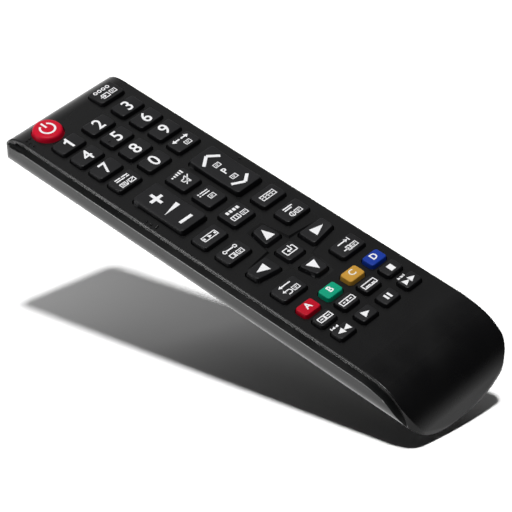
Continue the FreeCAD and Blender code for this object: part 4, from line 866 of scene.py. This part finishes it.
def character_mesh(text, height):
    # A bold character of that height, centred, as thick as the ink.
    curve = bpy.data.curves.new("character", "FONT")
    curve.body = text
    curve.size = height
    curve.offset = BOLDNESS
    curve.extrude = INK_THICKNESS / 2
    curve.resolution_u = CURVE_STEPS
    holder = bpy.data.objects.new("character", curve)
    scene.collection.objects.link(holder)
    bpy.context.view_layer.update()
    shown = holder.evaluated_get(bpy.context.evaluated_depsgraph_get())
    mesh = bpy.data.meshes.new_from_object(shown)
    bm = bmesh.new()
    bm.from_mesh(mesh)
    bpy.data.objects.remove(holder)
    bpy.data.curves.remove(curve)
    bpy.data.meshes.remove(mesh)
    bmesh.ops.remove_doubles(bm, verts=bm.verts, dist=NEAR_CHARACTER)
    low, high = extent(bm.verts)
    foot = Vector(((low.x + high.x) / 2, (low.y + high.y) / 2, low.z))
    bmesh.ops.translate(bm, vec=-foot, verts=bm.verts)
    factor = height / (high.y - low.y)
    bmesh.ops.scale(bm, vec=(factor, factor, 1), verts=bm.verts)
    return bm


def drawn_mark(strokes, x, y, surface):
    # A mark made of strokes, laid on a surface at (x, y).
    bm = bmesh.new()
    draw(bm, strokes)
    thicken(bm)
    lay(bm, x, y, surface)
    return bm


def make_marks(finishes):
    for name, strokes in MARKS.items():
        centre = middle_of("key_enter" if name in ARMS else name)
        bm = drawn_mark(strokes, centre.x, centre.y, top_of(name))
        add_piece(name.replace("key_", "mark_"), bm, name, finishes["white_ink"],
                  INK_SHARP_ANGLE)
    for name, (text, height, x, y) in CHARACTERS.items():
        centre = middle_of(name)
        bm = character_mesh(text, height)
        lay(bm, centre.x + x, centre.y + y, top_of(name))
        ink = "cream_ink" if name == "key_yellow" else "white_ink"
        add_piece(name.replace("key_", "sign_"), bm, name, finishes[ink],
                  INK_SHARP_ANGLE)
    for name, (x, y, strokes) in FACE_MARKS.items():
        bm = drawn_mark(strokes, x, y, lambda x, y: COVER_TOP)
        add_piece("mark_" + name, bm, "handset", finishes["white_ink"],
                  INK_SHARP_ANGLE)


def dot(bm, x, y, height):
    # A low dome: the upper half of a flattened ball that is sunk in the surface.
    around, upward = DOT_STEPS
    flat = Matrix.Diagonal((1, 1, DOT_HEIGHT / DOT_RADIUS, 1))
    bmesh.ops.create_uvsphere(bm, u_segments=around, v_segments=upward, radius=DOT_RADIUS,
                              matrix=Matrix.Translation((x, y, height)) @ flat)


def on_outer_top(point):
    # Whether a point lies on the top of the rim, at its outer side.
    centre_x, centre_y = RIM_CORNER
    on_side = point.x > RIM_OUTER - NEAR
    on_corner = (point.y > centre_y and math.hypot(point.x - centre_x, point.y - centre_y)
                 > RIM_OUTER - centre_x - NEAR_ARC)
    return point.z > RIM_TOP - NEAR and (on_side or on_corner)


def follow_nose(point):
    # Lowers the rim on its way round the corner, and keeps it inside the roll of the nose.
    centre_x, centre_y = RIM_CORNER
    bend_y, bend_z = NOSE_BEND
    turn = math.atan2(point.y - centre_y, point.x - centre_x) / (math.pi / 2)
    share = (point.z - RIM_LOW) / (RIM_TOP - RIM_LOW)
    point.z -= share * turn * (RIM_TOP - RIM_FRONT)
    point.y = min(point.y, bend_y + math.sqrt(NOSE_REACH ** 2 - (point.z - bend_z) ** 2))


def make_nose_rims(finishes):
    # The rim of the shell that runs on round both corners of the nose, under the cover.
    centre_x, centre_y = RIM_CORNER
    inner = RIM_OUTER - RIM_WIDTH
    corners = ((inner, RIM_LOW), (RIM_OUTER, RIM_LOW), (RIM_OUTER, RIM_TOP), (inner, RIM_INNER_TOP))
    for name, side in (("nose_rim_left", -1), ("nose_rim_right", 1)):
        bm = bmesh.new()
        face = bm.faces.new([bm.verts.new((x, centre_y, z)) for x, z in corners])
        bmesh.ops.spin(bm, geom=[face], cent=(centre_x, centre_y, 0), axis=(0, 0, 1),
                       angle=math.pi / 2, steps=RIM_STEPS, use_duplicate=False)
        start = [item for item in bm.faces
                 if all(abs(v.co.y - centre_y) < NEAR for v in item.verts)]
        made = bmesh.ops.extrude_face_region(bm, geom=start)["geom"]
        bmesh.ops.translate(bm, vec=(0, RIM_START - centre_y, 0), verts=points_of(made))
        bmesh.ops.remove_doubles(bm, verts=bm.verts, dist=NEAR)
        outside = [edge for edge in bm.edges if all(on_outer_top(v.co) for v in edge.verts)]
        round_rim(bm, outside, RIM_ROUND)
        for vert in bm.verts:
            if vert.co.y > centre_y + NEAR:
                follow_nose(vert.co)
            vert.co.x *= side
        add_piece(name, bm, "handset", finishes["shell_plastic"])


def make_dots(finishes):
    bm = bmesh.new()
    for x, y in DOT_PLACES:
        dot(bm, x, y, COVER_TOP)
    add_piece("face_dots", bm, "handset", finishes["face_plastic"])
    centre = middle_of("key_5")
    bm = bmesh.new()
    dot(bm, centre.x + BUMP_PLACE[0], centre.y + BUMP_PLACE[1], box_of("key_5")[1].z)
    add_piece("middle_bump", bm, "key_5", finishes["key_rubber"])


# Stage: floor, lamps and camera

def place_camera():
    data = bpy.data.cameras.new("photo_camera")
    data.sensor_width = SENSOR_WIDTH
    data.lens = FOCAL_PIXELS * SENSOR_WIDTH / FRAME_PIXELS
    data.clip_start = CLIP_START
    data.clip_end = CLIP_END
    camera = bpy.data.objects.new("photo_camera", data)
    turn = Matrix((CAMERA_RIGHT, CAMERA_UP, -CAMERA_AHEAD)).transposed().to_4x4()
    camera.matrix_world = Matrix.Translation(CAMERA_PLACE) @ turn
    scene.collection.objects.link(camera)
    scene.camera = camera


def choose_shader(tree, choice, first, second, output):
    # Sends out the first shader where the choice is 0, and the second where it is 1.
    mix = tree.nodes.new("ShaderNodeMixShader")
    tree.links.new(choice, mix.inputs["Fac"])
    tree.links.new(first.outputs[0], mix.inputs[1])
    tree.links.new(second.outputs[0], mix.inputs[2])
    tree.links.new(mix.outputs[0], output.inputs["Surface"])


def place_floor():
    # A white sheet that touches the tail and falls away under the nose. It is seen from
    # above only, and other rays pass to the white below, as over a lit table.
    bm = bmesh.new()
    bmesh.ops.create_grid(bm, x_segments=1, y_segments=1, size=FLOOR_HALF)
    mesh = bpy.data.meshes.new("floor")
    bm.to_mesh(mesh)
    bm.free()
    floor = bpy.data.objects.new("floor", mesh)
    normal = Vector((*FLOOR_FALL, 1)).normalized()
    turn = normal.to_track_quat("Z", "Y").to_matrix().to_4x4()
    floor.matrix_world = Matrix.Translation(FLOOR_TOUCH - Vector((0, 0, FLOOR_DROP))) @ turn
    scene.collection.objects.link(floor)
    material = bpy.data.materials.new("white_floor")
    material.use_nodes = True
    tree = material.node_tree
    tree.nodes.clear()
    output = tree.nodes.new("ShaderNodeOutputMaterial")
    white = tree.nodes.new("ShaderNodeBsdfDiffuse")
    white.inputs["Color"].default_value = (FLOOR_WHITE, FLOOR_WHITE, FLOOR_WHITE, 1)
    upright = tree.nodes.new("ShaderNodeCombineXYZ")
    upright.inputs["Z"].default_value = 1.0
    tree.links.new(upright.outputs[0], white.inputs["Normal"])
    clear = tree.nodes.new("ShaderNodeBsdfTransparent")
    path = tree.nodes.new("ShaderNodeLightPath")
    geometry = tree.nodes.new("ShaderNodeNewGeometry")
    front = math_node(tree, "SUBTRACT", 1.0, geometry.outputs["Backfacing"])
    seen = math_node(tree, "MULTIPLY", path.outputs["Is Camera Ray"], front)
    choose_shader(tree, seen, clear, white, output)
    mesh.materials.append(material)
    return floor


def place_world():
    # White to the camera. Around the object it is white below, as a lit table is, and dark
    # above but for the side behind the nose. Only reflections show that table: nothing
    # matt takes light from it, because the shadow lies there.
    world = bpy.data.worlds.new("studio")
    world.use_nodes = True
    tree = world.node_tree
    tree.nodes.clear()
    output = tree.nodes.new("ShaderNodeOutputWorld")
    place = tree.nodes.new("ShaderNodeTexCoord")
    split = tree.nodes.new("ShaderNodeSeparateXYZ")
    tree.links.new(place.outputs["Generated"], split.inputs[0])
    path = tree.nodes.new("ShaderNodeLightPath")
    first = math_node(tree, "LESS_THAN", path.outputs["Diffuse Depth"], 0.5)
    table = map_range(tree, split.outputs["Z"], *TABLE_FADE, WORLD_BELOW, 0.0)
    tail = map_range(tree, split.outputs["Y"], *TAIL_FADE, WORLD_TAIL, 1.0)
    below = math_node(tree, "MULTIPLY", math_node(tree, "MULTIPLY", table, first), tail)
    back = map_range(tree, split.outputs["Y"], *BACK_FADE, WORLD_FRONT, WORLD_BACK)
    right = map_range(tree, split.outputs["X"], *RIGHT_FADE, 0.0, 1.0)
    sky = math_node(tree, "MULTIPLY", back, right)
    light = tree.nodes.new("ShaderNodeBackground")
    tree.links.new(math_node(tree, "ADD", below, sky), light.inputs["Strength"])
    light.inputs["Color"].default_value = (1, 1, 1, 1)
    white = tree.nodes.new("ShaderNodeBackground")
    white.inputs["Color"].default_value = (1, 1, 1, 1)
    choose_shader(tree, path.outputs["Is Camera Ray"], light, white, output)
    scene.world = world


def place_area_lamp(floor, name, place, aim, size, power, floor_state):
    # A lamp that the camera doesn't see, and that lights the floor alone or all but it.
    data = bpy.data.lights.new(name, "AREA")
    data.shape = "RECTANGLE"
    data.size, data.size_y = size
    data.energy = power
    lamp = bpy.data.objects.new(name, data)
    turn = (Vector(aim) - Vector(place)).to_track_quat("-Z", "Y").to_matrix().to_4x4()
    lamp.matrix_world = Matrix.Translation(place) @ turn
    lamp.visible_camera = False
    scene.collection.objects.link(lamp)
    receivers = bpy.data.collections.new(name + "_receivers")
    receivers.objects.link(floor)
    lamp.light_linking.receiver_collection = receivers
    receivers.collection_objects[0].light_linking.link_state = floor_state


def place_lamps(floor):
    # One straight above, one low on the left that draws the edges, a small one high on the
    # left for the glints, and one before the nose that lightens the floor under it.
    data = bpy.data.lights.new("overhead", "SUN")
    data.energy = OVERHEAD_STRENGTH
    data.angle = math.radians(OVERHEAD_ANGLE)
    scene.collection.objects.link(bpy.data.objects.new("overhead", data))
    for lamp in (EDGE_LAMP, GLINT_LAMP, NOSE_LAMP):
        place_area_lamp(floor, *lamp)


finishes = make_finishes()
finish_nodes(finishes)
make_caps(finishes)
make_marks(finishes)
make_dots(finishes)
make_nose_rims(finishes)
floor = place_floor()
place_world()
place_lamps(floor)
place_camera()
scene.view_settings.view_transform = "Standard"
